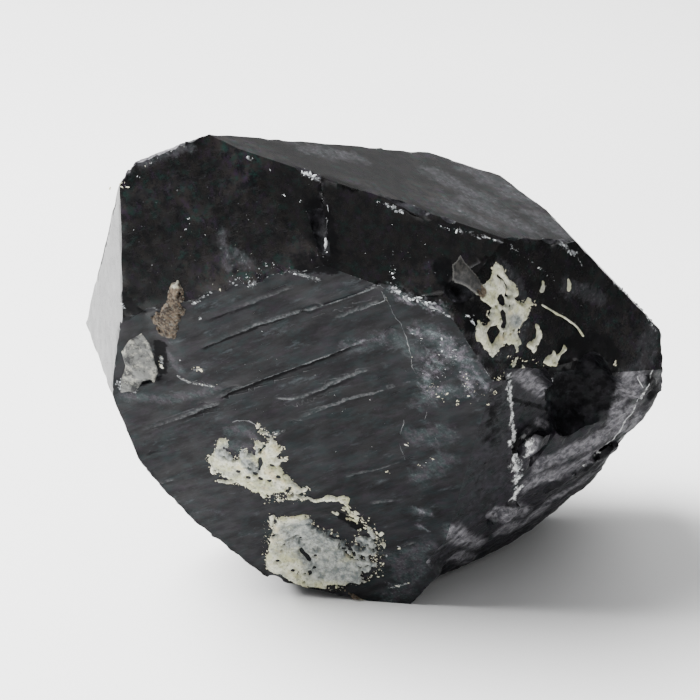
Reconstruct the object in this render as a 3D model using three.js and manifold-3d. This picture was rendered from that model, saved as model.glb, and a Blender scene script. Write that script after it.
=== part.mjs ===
// A morion quartz cluster: one stout smoky black crystal with a chisel tip, grown together with
// smaller crystals on its back and broken off at its base, on which it rests.
// Millimetres and degrees, +Z up. The origin is under the middle of the cluster, on the surface it rests on.
import * as THREE from "three";
import { ConvexGeometry } from "three/addons/geometries/ConvexGeometry.js";
import { mergeVertices } from "three/addons/utils/BufferGeometryUtils.js";
import Module from "manifold-3d";

const wasm = await Module();
wasm.setup();

// How the crystal leans as it rests: its long axis points up, to the left and towards the front.
const LEAN = { heading: -146.9, elevation: 55.2, roll: 42.6 };

// The crystal's faces. Each has the heading of its outward direction round the long axis, its slope
// towards the tip, and its distance from the crystal's centre. Quartz fixes the directions: prism
// sides stand every 60 degrees, tip faces slope 38 degrees, and growth bends them a little.
const FACES = {
  tipFront: { heading: 1.2, slope: 37.4, distance: 36.1 },
  tipRight: { heading: 60.6, slope: 38.3, distance: 39.7 },
  tipTop: { heading: 120.8, slope: 38.6, distance: 33.6 },
  tipBack: { heading: 181, slope: 36.7, distance: 26.1 },
  tipBackLeft: { heading: 231, slope: 42.6, distance: 36.4 },
  tipLeft: { heading: 295.5, slope: 35.3, distance: 39.5 },
  sideFront: { heading: -0.7, slope: 1, distance: 20.3 },
  sideRight: { heading: 59.3, slope: 0, distance: 36 },
  sideTop: { heading: 121.3, slope: 9.4, distance: 38.1 },
  sideBack: { heading: 180, slope: 0, distance: 34 },
  sideBackLeft: { heading: 240, slope: 0, distance: 35 },
  sideLeft: { heading: 297.1, slope: 3, distance: 34.8 },
};

// Bevels worn and grown along the edges.
const BEVELS = {
  topToBack: { heading: 145.3, slope: 29.6, distance: 33.4 },
  topToSide: { heading: 128.4, slope: 12.1, distance: 36.6 },
};

// Flat breaks round the base, on the left and under it. The flat it rests on faces straight down.
const LEFT_BREAKS = {
  left: { heading: -57.1, slope: -0.6, distance: 37.1 },
  leftLow: { heading: -59.1, slope: -5.5, distance: 37 },
  leftLower: { heading: -59.7, slope: -13.6, distance: 37.5 },
  leftUnder: { heading: -37.7, slope: -37.2, distance: 40.5 },
};
const REST = { heading: -42.6, slope: -55.2, distance: 42.5 };
const RIGHT_BREAKS = {
  wedge: { heading: 33.5, slope: -23.2, distance: 29.5 },
  rim: { heading: 29.8, slope: -37.3, distance: 32.7 },
  underMiddle: { heading: 3.9, slope: -52.9, distance: 40.6 },
  underRight: { heading: 25.7, slope: -57.4, distance: 43.2 },
  underFar: { heading: 61.4, slope: -50.6, distance: 45.7 },
  underEnd: { heading: 71.3, slope: -45.3, distance: 47.2 },
  end: { heading: 104.2, slope: -24.6, distance: 49 },
};
const BACK_BREAKS = {
  back: { heading: 213.4, slope: -46.9, distance: 51 },
  backLeft: { heading: 262, slope: -34, distance: 47 },
};

// The smaller crystal grown along the left side and down to the foot, where it stands out from the main one.
const FOOT_FACES = {
  tipFoot: { heading: 297, slope: 40, distance: 39.5 },
  sideFootUpper: { heading: -67, slope: 14.1, distance: 37.4 },
  sideFoot: { heading: 297.1, slope: 0, distance: 37.4 },
  seam: { heading: 90, slope: 0, distance: 1 },
  step: { heading: 58.8, slope: -53, distance: 33.7 },
};

// Ledges across the faces. Each is a shallow wedge cut out below a line: the line's ends as
// [along, up] on the face, the wedge's depth at both ends, and how far down it fades out.
const LEDGES = [
  { face: FACES.sideFront, from: [-8, 30.4], to: [11, 31.1], depth: [0.15, 0.35], fade: 5 },
  { face: FACES.sideFront, from: [-9, 24.2], to: [23.1, 26.2], depth: [0.25, 1.1], fade: 8 },
  { face: FACES.sideFront, from: [-12, 14.6], to: [21.5, 17.6], depth: [0.9, 1.1], fade: 8 },
  { face: FACES.sideFront, from: [-31, 12.5], to: [-12, 14.1], depth: [0.3, 0.9], fade: 8 },
  { face: FACES.sideFront, from: [-4.5, 10.7], to: [16, 9], depth: [0.6, 0.4], fade: 5 },
  { face: FACES.sideFront, from: [-5.4, 5.5], to: [19, 5.2], depth: [0.5, 0.6], fade: 6 },
  { face: FACES.sideFront, from: [-30, 7.4], to: [-18, 8.4], depth: [0.3, 0.3], fade: 5 },
  { face: FACES.sideFront, from: [-1.6, -8.4], to: [11.8, -7.7], depth: [0.4, 0.5], fade: 6 },
  { face: FACES.tipBack, from: [-24, 12], to: [3, 17], depth: [0.3, 0.7], fade: 9 },
  { face: FACES.tipBack, from: [-4, 6], to: [17, 3], depth: [0.6, 0.3], fade: 8 },
  { face: FACES.tipBack, from: [-22, -4], to: [2, -1], depth: [0.4, 0.7], fade: 8 },
  { face: FACES.sideBack, from: [2, -9], to: [20, -10], depth: [0.9, 0.5], fade: 8 },
  { face: FACES.sideBack, from: [-20, -14], to: [6, -15], depth: [0.6, 0.9], fade: 9 },
  { face: FACES.sideBackLeft, from: [-16, 2], to: [10, 3], depth: [0.5, 0.8], fade: 8 },
  { face: FACES.sideBackLeft, from: [-8, -9], to: [18, -9], depth: [0.8, 0.4], fade: 8 },
  { face: FACES.sideTop, from: [-8, 2], to: [16, 0], depth: [0.3, 0.7], fade: 7 },
];

// Shell-like breaks: the face they are in, and their middle as [along, up, out] on it.
const SHELLS = [
  { face: RIGHT_BREAKS.wedge, at: [24.2, -5, 1], radii: [5.6, 9, 8], turn: [0, 0, -28] },
  { face: FACES.sideRight, at: [1, 20, 1.5], radii: [2.4, 4.2, 3.2], turn: [0, 0, 30] },
  { face: FACES.sideFront, at: [-12.5, -21.5, 7.2], radii: [16, 15, 9] },
];

// Angular lumps left standing on the breaks and on the front side: the face, the place as [along, up]
// on it, and the lump's half width, half height and how far it stands out.
const LUMPS = [
  { face: RIGHT_BREAKS.wedge, at: [13.6, -7.5], size: [3.4, 2.4, 1.3] },
  { face: RIGHT_BREAKS.wedge, at: [10, -10], size: [2.2, 4, 1.1] },
  { face: RIGHT_BREAKS.wedge, at: [3.8, -20.7], size: [3.1, 2.4, 1.5] },
  { face: RIGHT_BREAKS.rim, at: [15.8, -19], size: [3.2, 1.8, 1.2] },
  { face: RIGHT_BREAKS.rim, at: [20.3, -19.8], size: [2.8, 2, 1.4] },
  { face: RIGHT_BREAKS.rim, at: [24.6, -20.9], size: [2.4, 2, 1.1] },
  { face: RIGHT_BREAKS.wedge, at: [33.8, -14.2], size: [2.2, 3, 1.2] },
  { face: FACES.sideFront, at: [6.3, -19], size: [1.7, 1.1, 0.7] },
  { face: FACES.sideFront, at: [4.8, -22.7], size: [1.3, 1, 0.6] },
];

// Flat-floored hollows: the face they are in, and their corners as [along, up, depth] on it.
const POCKETS = [
  {
    face: RIGHT_BREAKS.wedge,
    corners: [
      [21.6, 9, 4],
      [27, 2.5, 4.5],
      [32, -6.7, 4],
      [31.5, -14.5, 2],
      [26.5, -17, 1.5],
      [19.4, -12.6, 3],
      [17.5, -4, 6],
    ],
    draw: 0.3,
  },
  {
    face: RIGHT_BREAKS.wedge,
    corners: [[15.9, 17.3, 1.5], [22, 9, 2.5], [20, -8, 3.5], [13, -13, 2], [7.6, -15, 0.6], [12.2, 1, 2.5]],
    draw: 0.12,
  },
  {
    face: FACES.sideFront,
    corners: [[-25, 33, 1.1], [-12, 34, 1.1], [-13, 27, 0.9], [-16.5, 20.5, 0.7], [-27, 20, 0.6]],
    draw: 0.1,
  },
  {
    face: FACES.tipRight,
    corners: [[-1.2, 16, 0.6], [-3.4, 18.2, 0.8], [-8.4, 12, 0.7], [-7.6, 10, 0.4]],
    draw: 0.3,
  },
];

// Chips knocked out of the edges: the edge as the two faces that meet in it, the faces that end it,
// the stretch that is chipped as fractions of its length, and the number and size of the chips.
const CHIPS = [
  { edge: ["tipFront", "tipBack"], ends: ["tipBackLeft", "tipTop"], from: 0, to: 0.85, count: 7, size: 1.5 },
  { edge: ["tipFront", "tipBackLeft"], ends: ["tipLeft", "tipBack"], from: 0.1, to: 1, count: 4, size: 1.3 },
  { edge: ["tipTop", "tipRight"], ends: ["tipFront", "sideRight"], from: 0.2, to: 0.34, count: 2, size: 1.3 },
  { edge: ["tipTop", "tipRight"], ends: ["tipFront", "sideRight"], from: 0.55, to: 0.8, count: 4, size: 1.4 },
  { edge: ["tipRight", "sideFront"], ends: ["tipFront", "sideRight"], from: 0.45, to: 0.95, count: 4, size: 1.3 },
  { edge: ["tipTop", "sideRight"], ends: ["tipRight", "sideTop"], from: 0.05, to: 0.95, count: 4, size: 1 },
  { edge: ["tipFront", "sideFront"], ends: ["tipLeft", "tipRight"], from: 0.1, to: 0.95, count: 6, size: 1 },
  { edge: ["tipLeft", "sideFront"], ends: ["tipFront", "sideLeft"], from: 0.2, to: 1, count: 3, size: 1.2 },
];

// Scars of the break at the base: their face, the stretch of it they cover, and their size.
const SCARS = [
  { face: RIGHT_BREAKS.underRight, along: [-12, 22], up: [-26, 8], count: 9, reach: 7, depth: 1.1 },
  { face: RIGHT_BREAKS.underFar, along: [-12, 24], up: [-24, 12], count: 9, reach: 7, depth: 1.2 },
  { face: RIGHT_BREAKS.rim, along: [4, 40], up: [-27, -14], count: 8, reach: 4, depth: 0.6 },
  { face: LEFT_BREAKS.leftUnder, along: [-26, -8], up: [-22, 8], count: 7, reach: 6, depth: 0.8 },
  { face: REST, along: [-26, -4], up: [-30, -12], count: 6, reach: 6, depth: 0.6 },
  { face: BACK_BREAKS.back, along: [-24, 18], up: [-14, 16], count: 10, reach: 8, depth: 1.3 },
  { face: BACK_BREAKS.backLeft, along: [-16, 20], up: [-16, 14], count: 7, reach: 7, depth: 1 },
];

// Smaller crystals grown into the back. Each rises from below the break: where its long axis starts,
// how it leans, its turn and width, its length up to the shoulder, and how far it is flattened.
const SMALL_CRYSTALS = [
  { root: [-26, -2, -60], heading: 180, tilt: 8, turn: 0, radius: 14, length: 50, squash: 0.85 },
  { root: [-14, -20, -60], heading: 222, tilt: 14, turn: 22, radius: 11, length: 48, squash: 0.8 },
  { root: [-14, 16, -60], heading: 148, tilt: 15, turn: 8, radius: 10, length: 42, squash: 0.9 },
];

const TIP_SLOPE = 38.2; // slope of quartz's tip faces from the prism's sides
const BLUNT = 0.12; // how much of a small crystal's width is left at its tip
const SCAR_DETAIL = 9; // divisions of a scar's ball
const SEED = 4711; // starts the row of random numbers
const BLANK = 160; // edge of the block that every form is cut from
const UP = new THREE.Vector3(0, 0, 1);
const rad = THREE.MathUtils.degToRad;

const lean = new THREE.Matrix4()
  .makeRotationZ(rad(LEAN.heading))
  .multiply(new THREE.Matrix4().makeRotationY(rad(90 - LEAN.elevation)))
  .multiply(new THREE.Matrix4().makeRotationZ(rad(LEAN.roll)));

// The outward direction of a heading and slope, in the crystal's own axes.
function direction({ heading, slope }) {
  return new THREE.Vector3(
    Math.cos(rad(slope)) * Math.cos(rad(heading)),
    Math.cos(rad(slope)) * Math.sin(rad(heading)),
    Math.sin(rad(slope)),
  );
}

// A face's own axes: X along it, level with the prism, Y up it towards the tip, and Z out of it.
function faceAxes(face) {
  const out = direction(face);
  const along = UP.clone().cross(out).normalize();
  const up = out.clone().cross(along);
  const origin = out.clone().multiplyScalar(face.distance);
  return new THREE.Matrix4().makeBasis(along, up, out).setPosition(origin);
}

// A closed three.js geometry, put in its place, as a solid.
function solidOf(geometry, ...places) {
  const bare = geometry.clone();
  bare.deleteAttribute("normal");
  bare.deleteAttribute("uv");
  const merged = mergeVertices(bare, 1e-4);
  for (const place of places) merged.applyMatrix4(place);
  return new wasm.Manifold(
    new wasm.Mesh({
      numProp: 3,
      vertProperties: new Float32Array(merged.attributes.position.array),
      triVerts: new Uint32Array(merged.index.array),
    }),
  );
}

// Everything beyond a flat face, as a block to cut away.
function beyond(face) {
  const block = new THREE.BoxGeometry(2 * BLANK, 2 * BLANK, BLANK).translate(0, 0, BLANK / 2);
  return solidOf(block, faceAxes(face));
}

// A form with everything beyond each of a group's faces broken away.
function broken(form, group) {
  return Object.values(group).reduce((rest, face) => rest.subtract(beyond(face)), form);
}

// A form with flat faces, cut from a block.
function facetted(...groups) {
  const block = solidOf(new THREE.BoxGeometry(BLANK, BLANK, BLANK));
  return groups.reduce(broken, block);
}

// The wedge that a ledge cuts out of a face, deepest at its line and running out below it.
function ledge(face, { from, to, depth, fade }) {
  const proud = 2;
  const corners = [from, to].flatMap(([along, up], end) => [
    new THREE.Vector3(along, up, proud),
    new THREE.Vector3(along, up, -depth[end]),
    new THREE.Vector3(along, up - fade, 0),
    new THREE.Vector3(along, up - fade, proud),
  ]);
  return solidOf(new ConvexGeometry(corners), faceAxes(face));
}

// A lump standing on a face: an angular ball, sunk to its middle.
function lump(face, { at, size }) {
  const ball = new THREE.DodecahedronGeometry(1, 0).scale(...size);
  return solidOf(ball, new THREE.Matrix4().setPosition(...at, 0), faceAxes(face));
}

// A hollow left by a shell-like break: a ball, squashed to its three radii and turned.
function shell(face, { at, radii, turn = [0, 0, 0], detail = 6 }) {
  const ball = new THREE.IcosahedronGeometry(1, detail).scale(...radii);
  const place = new THREE.Matrix4().makeRotationFromEuler(new THREE.Euler(...turn.map(rad)));
  return solidOf(ball, place.setPosition(...at), faceAxes(face));
}

// A flat-floored hollow in a face: its corners as [along, up, depth], and how far the floor draws in.
function pocket(face, { corners, draw }) {
  const middle = new THREE.Vector3();
  for (const [along, up] of corners) middle.add(new THREE.Vector3(along, up, 0).divideScalar(corners.length));
  const points = corners.flatMap(([along, up, depth]) => {
    const mouth = new THREE.Vector3(along, up, depth);
    const floor = new THREE.Vector3(along, up, 0).lerp(middle, draw).setZ(-depth);
    return [mouth, floor];
  });
  return solidOf(new ConvexGeometry(points), faceAxes(face));
}

// Where three faces meet.
function corner(...faces) {
  const [a, b, c] = faces.map((face) => ({ out: direction(face), distance: face.distance }));
  const volume = a.out.dot(b.out.clone().cross(c.out));
  return b.out.clone().cross(c.out).multiplyScalar(a.distance)
    .add(c.out.clone().cross(a.out).multiplyScalar(b.distance))
    .add(a.out.clone().cross(b.out).multiplyScalar(c.distance))
    .divideScalar(volume);
}

// Numbers between 0 and 1 that look random and are the same every time.
function shuffled(seed) {
  let state = seed;
  return () => {
    state = (state * 16807) % 2147483647;
    return state / 2147483647;
  };
}

// Chips along an edge: angular slivers lying along it, cut away.
function chips({ edge, ends, from, to, count, size }, random) {
  const [faceA, faceB] = edge.map((name) => FACES[name]);
  const [first, last] = ends.map((end) => corner(faceA, faceB, FACES[end]));
  const along = last.clone().sub(first).normalize();
  const out = direction(faceA).add(direction(faceB)).normalize();
  const side = along.clone().cross(out).normalize();
  return Array.from({ length: count }, (_, i) => {
    const place = from + ((to - from) * (i + random())) / count;
    const bite = size * (0.6 + 0.7 * random());
    const sliver = new THREE.IcosahedronGeometry(bite, 0).scale(1.4 + random(), 0.7, 0.6 + 0.5 * random());
    sliver.rotateX(6 * random()).rotateY(0.6 * (random() - 0.5));
    const at = first.clone().lerp(last, place).addScaledVector(out, 0.25 * bite);
    return solidOf(sliver, new THREE.Matrix4().makeBasis(along, out, side).setPosition(at));
  });
}

// A smaller crystal: a six-sided prism with a six-sided tip, leaning a little from the main one.
function smallCrystal({ root, heading, tilt, turn, radius, length, squash }) {
  const tipHeight = (radius * Math.cos(rad(30))) / Math.tan(rad(TIP_SLOPE));
  const rings = [[radius, 0], [radius, length], [radius * BLUNT, length + tipHeight * (1 - BLUNT)]];
  const points = rings.flatMap(([across, up]) =>
    Array.from({ length: 6 }, (_, i) => {
      const angle = rad(60 * i + turn);
      return new THREE.Vector3(across * Math.cos(angle), across * squash * Math.sin(angle), up);
    }),
  );
  const tiltAxis = new THREE.Vector3(-Math.sin(rad(heading)), Math.cos(rad(heading)), 0);
  const place = new THREE.Matrix4().makeRotationAxis(tiltAxis, rad(tilt)).setPosition(...root);
  return solidOf(new ConvexGeometry(points), place);
}

// The broken base: shell-like scars spread over a break, each a shallow cap of a large ball.
function scars({ face, along, up, count, reach, depth }, random) {
  return Array.from({ length: count }, () => {
    const across = reach * (0.6 + 0.8 * random());
    const sunk = depth * (0.5 + random());
    const ball = (across * across + sunk * sunk) / (2 * sunk);
    const at = [
      along[0] + (along[1] - along[0]) * random(),
      up[0] + (up[1] - up[0]) * random(),
      ball - sunk,
    ];
    const turn = [360 * random(), 360 * random(), 0];
    return shell(face, { at, radii: [ball, ball, ball], turn, detail: SCAR_DETAIL });
  });
}

const footFaces = { ...FACES, ...FOOT_FACES };
delete footFaces.sideLeft;

let cluster = facetted(FACES, BEVELS, RIGHT_BREAKS).add(facetted(footFaces));
for (const step of LEDGES) cluster = cluster.subtract(ledge(step.face, step));
for (const crystal of SMALL_CRYSTALS) {
  cluster = cluster.add(broken(smallCrystal(crystal), RIGHT_BREAKS));
}
cluster = broken(cluster, { ...LEFT_BREAKS, ...BACK_BREAKS, REST });

const random = shuffled(SEED);
for (const hollow of SHELLS) cluster = cluster.subtract(shell(hollow.face, hollow));
for (const hollow of POCKETS) cluster = cluster.subtract(pocket(hollow.face, hollow));
for (const area of SCARS) {
  for (const scar of scars(area, random)) cluster = cluster.subtract(scar);
}
for (const run of CHIPS) {
  for (const chip of chips(run, random)) cluster = cluster.subtract(chip);
}
for (const rise of LUMPS) cluster = cluster.add(lump(rise.face, rise));

const mesh = cluster.getMesh();
const geometry = new THREE.BufferGeometry()
  .setAttribute("position", new THREE.BufferAttribute(new Float32Array(mesh.vertProperties), 3))
  .setIndex(new THREE.BufferAttribute(new Uint32Array(mesh.triVerts), 1));
geometry.applyMatrix4(lean);
geometry.computeBoundingBox();
const { min, max } = geometry.boundingBox;
geometry.translate(-(min.x + max.x) / 2, -(min.y + max.y) / 2, -min.z);

const crystal = new THREE.Mesh(
  geometry,
  new THREE.MeshStandardMaterial({ color: 0x17171a, roughness: 0.2, metalness: 0 }),
);
crystal.name = "crystal_cluster";

const part = new THREE.Group();
part.add(crystal);
export default part;
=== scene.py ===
# %% [markdown]
# # A morion quartz cluster
# The object is one stout, smoky black quartz crystal with smaller crystals grown into it. It leans on
# its broken base, with pale crusts stuck to its sides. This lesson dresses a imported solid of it: the
# solid gives every flat face and edge, and Blender adds the fine relief, the crusts and the finishes.

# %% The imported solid
import bpy
import numpy as np
from mathutils import Matrix, Vector, geometry


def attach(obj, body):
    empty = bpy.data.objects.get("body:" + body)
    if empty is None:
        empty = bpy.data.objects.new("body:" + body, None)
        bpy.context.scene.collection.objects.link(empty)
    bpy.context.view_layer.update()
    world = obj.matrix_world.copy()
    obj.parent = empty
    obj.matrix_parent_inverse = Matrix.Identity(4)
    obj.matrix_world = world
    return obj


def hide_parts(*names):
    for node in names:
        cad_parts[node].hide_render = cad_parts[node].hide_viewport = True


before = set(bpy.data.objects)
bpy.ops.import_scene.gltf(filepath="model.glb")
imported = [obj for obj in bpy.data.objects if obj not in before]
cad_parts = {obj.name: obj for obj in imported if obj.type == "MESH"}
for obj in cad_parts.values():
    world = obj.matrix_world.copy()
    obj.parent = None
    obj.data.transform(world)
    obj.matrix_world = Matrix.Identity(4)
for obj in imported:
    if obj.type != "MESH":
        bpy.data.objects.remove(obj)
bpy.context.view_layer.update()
MM = 0.001
RNG = np.random.default_rng(4711)

# %% [markdown]
# ## The crystal's own axes
# Quartz grows on six-sided axes, so every face is easiest to name in them: x out of the broad front
# side, z along the crystal. A face is then a heading round z, a slope towards the tip and a distance
# from the crystal's centre. The same lean as the solid's turns those axes into the part's. The centre
# could be typed in, but it is found from four outer faces, so it stays right if the solid moves.
# A place on a face is how far along and up it lies from the foot of the face's normal.

# %% Named faces and the lean
LEAN = {"heading": -146.9, "elevation": 55.2, "roll": 42.6}
FACES = {
    "tipFront": (1.2, 37.4, 36.1), "tipRight": (60.6, 38.3, 39.7), "tipTop": (120.8, 38.6, 33.6),
    "tipBack": (181, 36.7, 26.1), "tipBackLeft": (231, 42.6, 36.4), "tipLeft": (295.5, 35.3, 39.5),
    "sideFront": (-0.7, 1, 20.3), "sideRight": (59.3, 0, 36), "sideTop": (121.3, 9.4, 38.1),
    "sideBack": (180, 0, 34), "sideBackLeft": (240, 0, 35), "sideLeft": (297.1, 3, 34.8),
    "topToBack": (145.3, 29.6, 33.4), "topToSide": (128.4, 12.1, 36.6),
    "tipFoot": (297, 40, 39.5), "sideFootUpper": (-67, 14.1, 37.4), "sideFoot": (297.1, 0, 37.4),
    "wedge": (33.5, -23.2, 29.5), "rim": (29.8, -37.3, 32.7),
}


def turn(axis, degrees):
    """The matrix that turns round x (0), y (1) or z (2)."""
    c, s = np.cos(np.radians(degrees)), np.sin(np.radians(degrees))
    i, j = [(1, 2), (2, 0), (0, 1)][axis]
    matrix = np.eye(3)
    matrix[i, i], matrix[i, j], matrix[j, i], matrix[j, j] = c, -s, s, c
    return matrix


def direction(heading, slope):
    """The outward direction of a heading and slope."""
    h, s = np.radians(heading), np.radians(slope)
    return np.array([np.cos(s) * np.cos(h), np.cos(s) * np.sin(h), np.sin(s)])


def face_axes(face):
    """A face's along, up and out directions, as rows, in the crystal's axes."""
    out = direction(*FACES[face][:2])
    along = np.cross([0, 0, 1], out)
    along /= np.linalg.norm(along)
    return np.array([along, np.cross(out, along), out])


TO_PART = turn(2, LEAN["heading"]) @ turn(1, 90 - LEAN["elevation"]) @ turn(2, LEAN["roll"])
print("the crystal points", TO_PART[:, 2].round(2))

# %% The solid's points and triangles, merged


def read_solid(node):
    """A node's points in millimetres and its triangles, with points nearer than a micrometre joined."""
    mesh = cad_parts[node].data
    points = np.empty(len(mesh.vertices) * 3, np.float32)
    mesh.vertices.foreach_get("co", points)
    corners = np.empty(len(mesh.loops), np.int32)
    mesh.loops.foreach_get("vertex_index", corners)
    rounded = np.round(points.reshape(-1, 3).astype(float) / MM, 3)
    points, same = np.unique(rounded, axis=0, return_inverse=True)
    triangles = same.reshape(-1)[corners].reshape(-1, 3)
    a, b, c = triangles.T
    return points, triangles[(a != b) & (b != c) & (c != a)]


def normals_of(points, triangles):
    """Each triangle's outward unit direction and its area: half the cross product of two edges."""
    a, b, c = points[triangles.T]
    cross = np.cross(b - a, c - a)
    length = np.linalg.norm(cross, axis=1)
    return cross / np.maximum(length, 1e-12)[:, None], length / 2


solid_points, solid_triangles = read_solid("crystal_cluster")
outer = ("tipFront", "tipRight", "tipTop", "sideRight")
outer_out = np.array([TO_PART @ direction(*FACES[name][:2]) for name in outer])
reach = (solid_points @ outer_out.T).max(0) - np.array([FACES[name][2] for name in outer])
CENTRE = np.linalg.lstsq(outer_out, reach, rcond=None)[0]
print("points", len(solid_points), "triangles", len(solid_triangles), "centre", CENTRE.round(3))


def to_crystal(points):
    """Points in the part's millimetres, in the crystal's axes."""
    return (points - CENTRE) @ TO_PART


def to_part(points):
    """Points in the crystal's axes, in the part's millimetres."""
    return points @ TO_PART.T + CENTRE


def on_face(face, places):
    """Points in the part's millimetres at [along, up] or [along, up, above its plane] places of a face."""
    places = np.array([(*place, 0.0)[:3] for place in places])
    return to_part((places + [0, 0, FACES[face][2]]) @ face_axes(face))


# %% [markdown]
# ## The camera
# The photograph was taken from a little above, square to nothing. A long lens at 42 centimetres gives
# the same perspective as the corners of the faces ask for. It aims at the crystal's centre, so the
# picture's middle is that point.

# %% Camera at the photograph's angle
VIEW_SLOPE = 20
VIEW_DISTANCE = 420
look = turn(0, 90 - VIEW_SLOPE)
camera = bpy.data.objects.new("camera", bpy.data.cameras.new("camera"))
camera.data.lens = 135
camera.data.sensor_width = 36
camera.data.clip_start = 0.01
camera.location = (CENTRE + VIEW_DISTANCE * look[:, 2]) * MM
camera.rotation_euler = (np.radians(90 - VIEW_SLOPE), 0, 0)
bpy.context.scene.collection.objects.link(camera)
bpy.context.scene.camera = camera
print("camera at", [round(v, 4) for v in camera.location])

# %% [markdown]
# ## Solid noise
# Nature's unevenness is worked out for whole arrays of points at once. A table of random numbers fills
# space, and a point takes the smooth mix of the eight numbers round it. Layers of finer noise add up.

# %% Noise
CELLS = 32
LATTICE = RNG.random((CELLS, CELLS, CELLS))


def noise(points, size):
    """Smooth noise from -1 to 1, with lumps as wide as size, which may differ along x, y and z."""
    place = points / np.asarray(size, float) + 17.3
    cell = np.floor(place).astype(int)
    share = place - cell
    share = share * share * (3 - 2 * share)
    total = np.zeros(len(points))
    for corner in np.ndindex(2, 2, 2):
        weight = np.prod(np.where(corner, share, 1 - share), axis=1)
        total += weight * LATTICE[tuple(((cell + corner) % CELLS).T)]
    return 2 * total - 1


def layered(points, size, layers=4):
    """Noise plus finer noise: each layer is half as wide and half as strong."""
    size = np.asarray(size, float)
    return sum(noise(points + 9.1 * k, size / 2**k) / 2**k for k in range(layers))


def smoothstep(value, low, high):
    """0 below low, 1 above high, and a smooth rise between. It falls if low is the greater."""
    t = np.clip((value - low) / (high - low), 0, 1)
    return t * t * (3 - 2 * t)


def in_space(places, depth=0.0):
    """Flat places as points in space, all at one depth, for the noise to be read at."""
    return np.c_[places, np.full(len(places), depth)]


sample = noise(RNG.random((1000, 3)) * 90, 5)
print("noise goes from", sample.min().round(2), "to", sample.max().round(2))

# %% [markdown]
# ## Finer triangles without losing a face
# The solid's flats are a few large triangles, too few to carry relief. A voxel remesh would round every
# edge, and subdivision would keep the long slivers. Instead each flat is filled again with small, even
# triangles: its border is divided, points are strewn inside it, and a Delaunay fill joins them. Flats
# that share an edge share its new points, so the skin stays closed and the edges stay sharp.

# %% Which triangles lie in one flat


def edges_of(triangles):
    """Every edge once, as two points, and the two triangles beside it."""
    sides = np.stack([triangles, np.roll(triangles, -1, 1)], 2).reshape(-1, 2)
    owner = np.repeat(np.arange(len(triangles)), 3)
    order = np.lexsort((sides.max(1), sides.min(1)))
    return sides[order][::2], owner[order].reshape(-1, 2)


def flats_of(points, triangles):
    """A number for each triangle that is the same all over one flat: neighbours that lie level share
    the lower of their numbers until nothing changes."""
    level_within = np.cos(np.radians(0.4))
    out, _ = normals_of(points, triangles)
    beside = edges_of(triangles)[1]
    pairs = beside[(out[beside[:, 0]] * out[beside[:, 1]]).sum(1) > level_within]
    number = np.arange(len(triangles))
    while True:
        lowest = number[pairs].min(1)
        before = number.copy()
        np.minimum.at(number, pairs[:, 0], lowest)
        np.minimum.at(number, pairs[:, 1], lowest)
        number = number[number]
        if (number == before).all():
            return number


flats = flats_of(solid_points, solid_triangles)
solid_out, solid_area = normals_of(solid_points, solid_triangles)
print("flats:", len(np.unique(flats)))

# %% [markdown]
# ## What each flat is
# The finish of a flat follows how it came to be. The crystal's own faces grew glassy. The broad front
# side grew in ledges and is satin. Everything else is broken quartz, duller and rougher. So each flat
# gets a kind, and with it how fine its triangles must be: finest where it is rough and in plain sight.

# %% Kinds of flat
GLASS, FRONT, BROKEN, FOOT = range(4)
SEEN = look[:, 2] @ TO_PART  # the way to the camera, in the crystal's axes
LEDGE_DEPTH = 1.95  # the front side's ledges lie less deep than this
ON_FACE = 0.12  # a flat this near a crystal face's plane is part of that face
STEP_DEPTH = 4  # on the far side, so is a growth step that is this near
PARALLEL = 0.999  # the cosine between two flats that count as parallel
BROAD = 4  # square millimetres: a smaller flat is rubble
BREAK_TOP = 12  # the break round the base ends at this height
OVERHANG = -0.3  # a flat that faces down more than this belongs to the break as well
AWAY = -0.1  # a flat that faces away from the camera more than this is on the far side
BACK = (22, 18)  # so is one to the left of and behind this place
WORN_FLAT = 0.02  # what lies lower than this is the worn flat that the crystal rests on


def kinds_of(points, triangles, flats):
    """The kind of every flat, from where its largest triangle lies and where it faces."""
    out, area = normals_of(points, triangles)
    middle = to_crystal(points[triangles].mean(1))
    facing = out @ TO_PART
    kind = np.full(len(triangles), BROKEN)
    depth = FACES["sideFront"][2] - to_crystal(points[triangles]) @ direction(*FACES["sideFront"][:2])
    deepest = np.zeros(flats.max() + 1)
    np.maximum.at(deepest, flats, np.abs(depth).max(1))
    kind[deepest[flats] < LEDGE_DEPTH] = FRONT
    for name in [name for name in FACES if name not in ("sideFront", "wedge", "rim")]:
        face_out = direction(*FACES[name][:2])
        off = np.abs(middle @ face_out - FACES[name][2])
        near = (off < ON_FACE) | ((facing @ SEEN < 0) & (off < STEP_DEPTH))
        kind[near & (facing @ face_out > PARALLEL)] = GLASS
    broad = np.bincount(flats, area)[flats] > BROAD
    x, y, z = points[triangles].mean(1).T
    high = (z > BREAK_TOP) & (out[:, 2] > OVERHANG)
    far_side = (facing @ SEEN < AWAY) | ((x < BACK[0]) & (y > BACK[1]))
    kind[broad & high & far_side] = GLASS
    kind[points[triangles][:, :, 2].max(1) < WORN_FLAT] = FOOT
    order = np.argsort(area)
    by_flat = np.zeros(flats.max() + 1, int)
    by_flat[flats[order]] = kind[order]
    turned = np.zeros(flats.max() + 1)
    turned[flats[order]] = (facing @ SEEN)[order]
    return by_flat, turned


flat_kind, flat_turned = kinds_of(solid_points, solid_triangles, flats)
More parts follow.
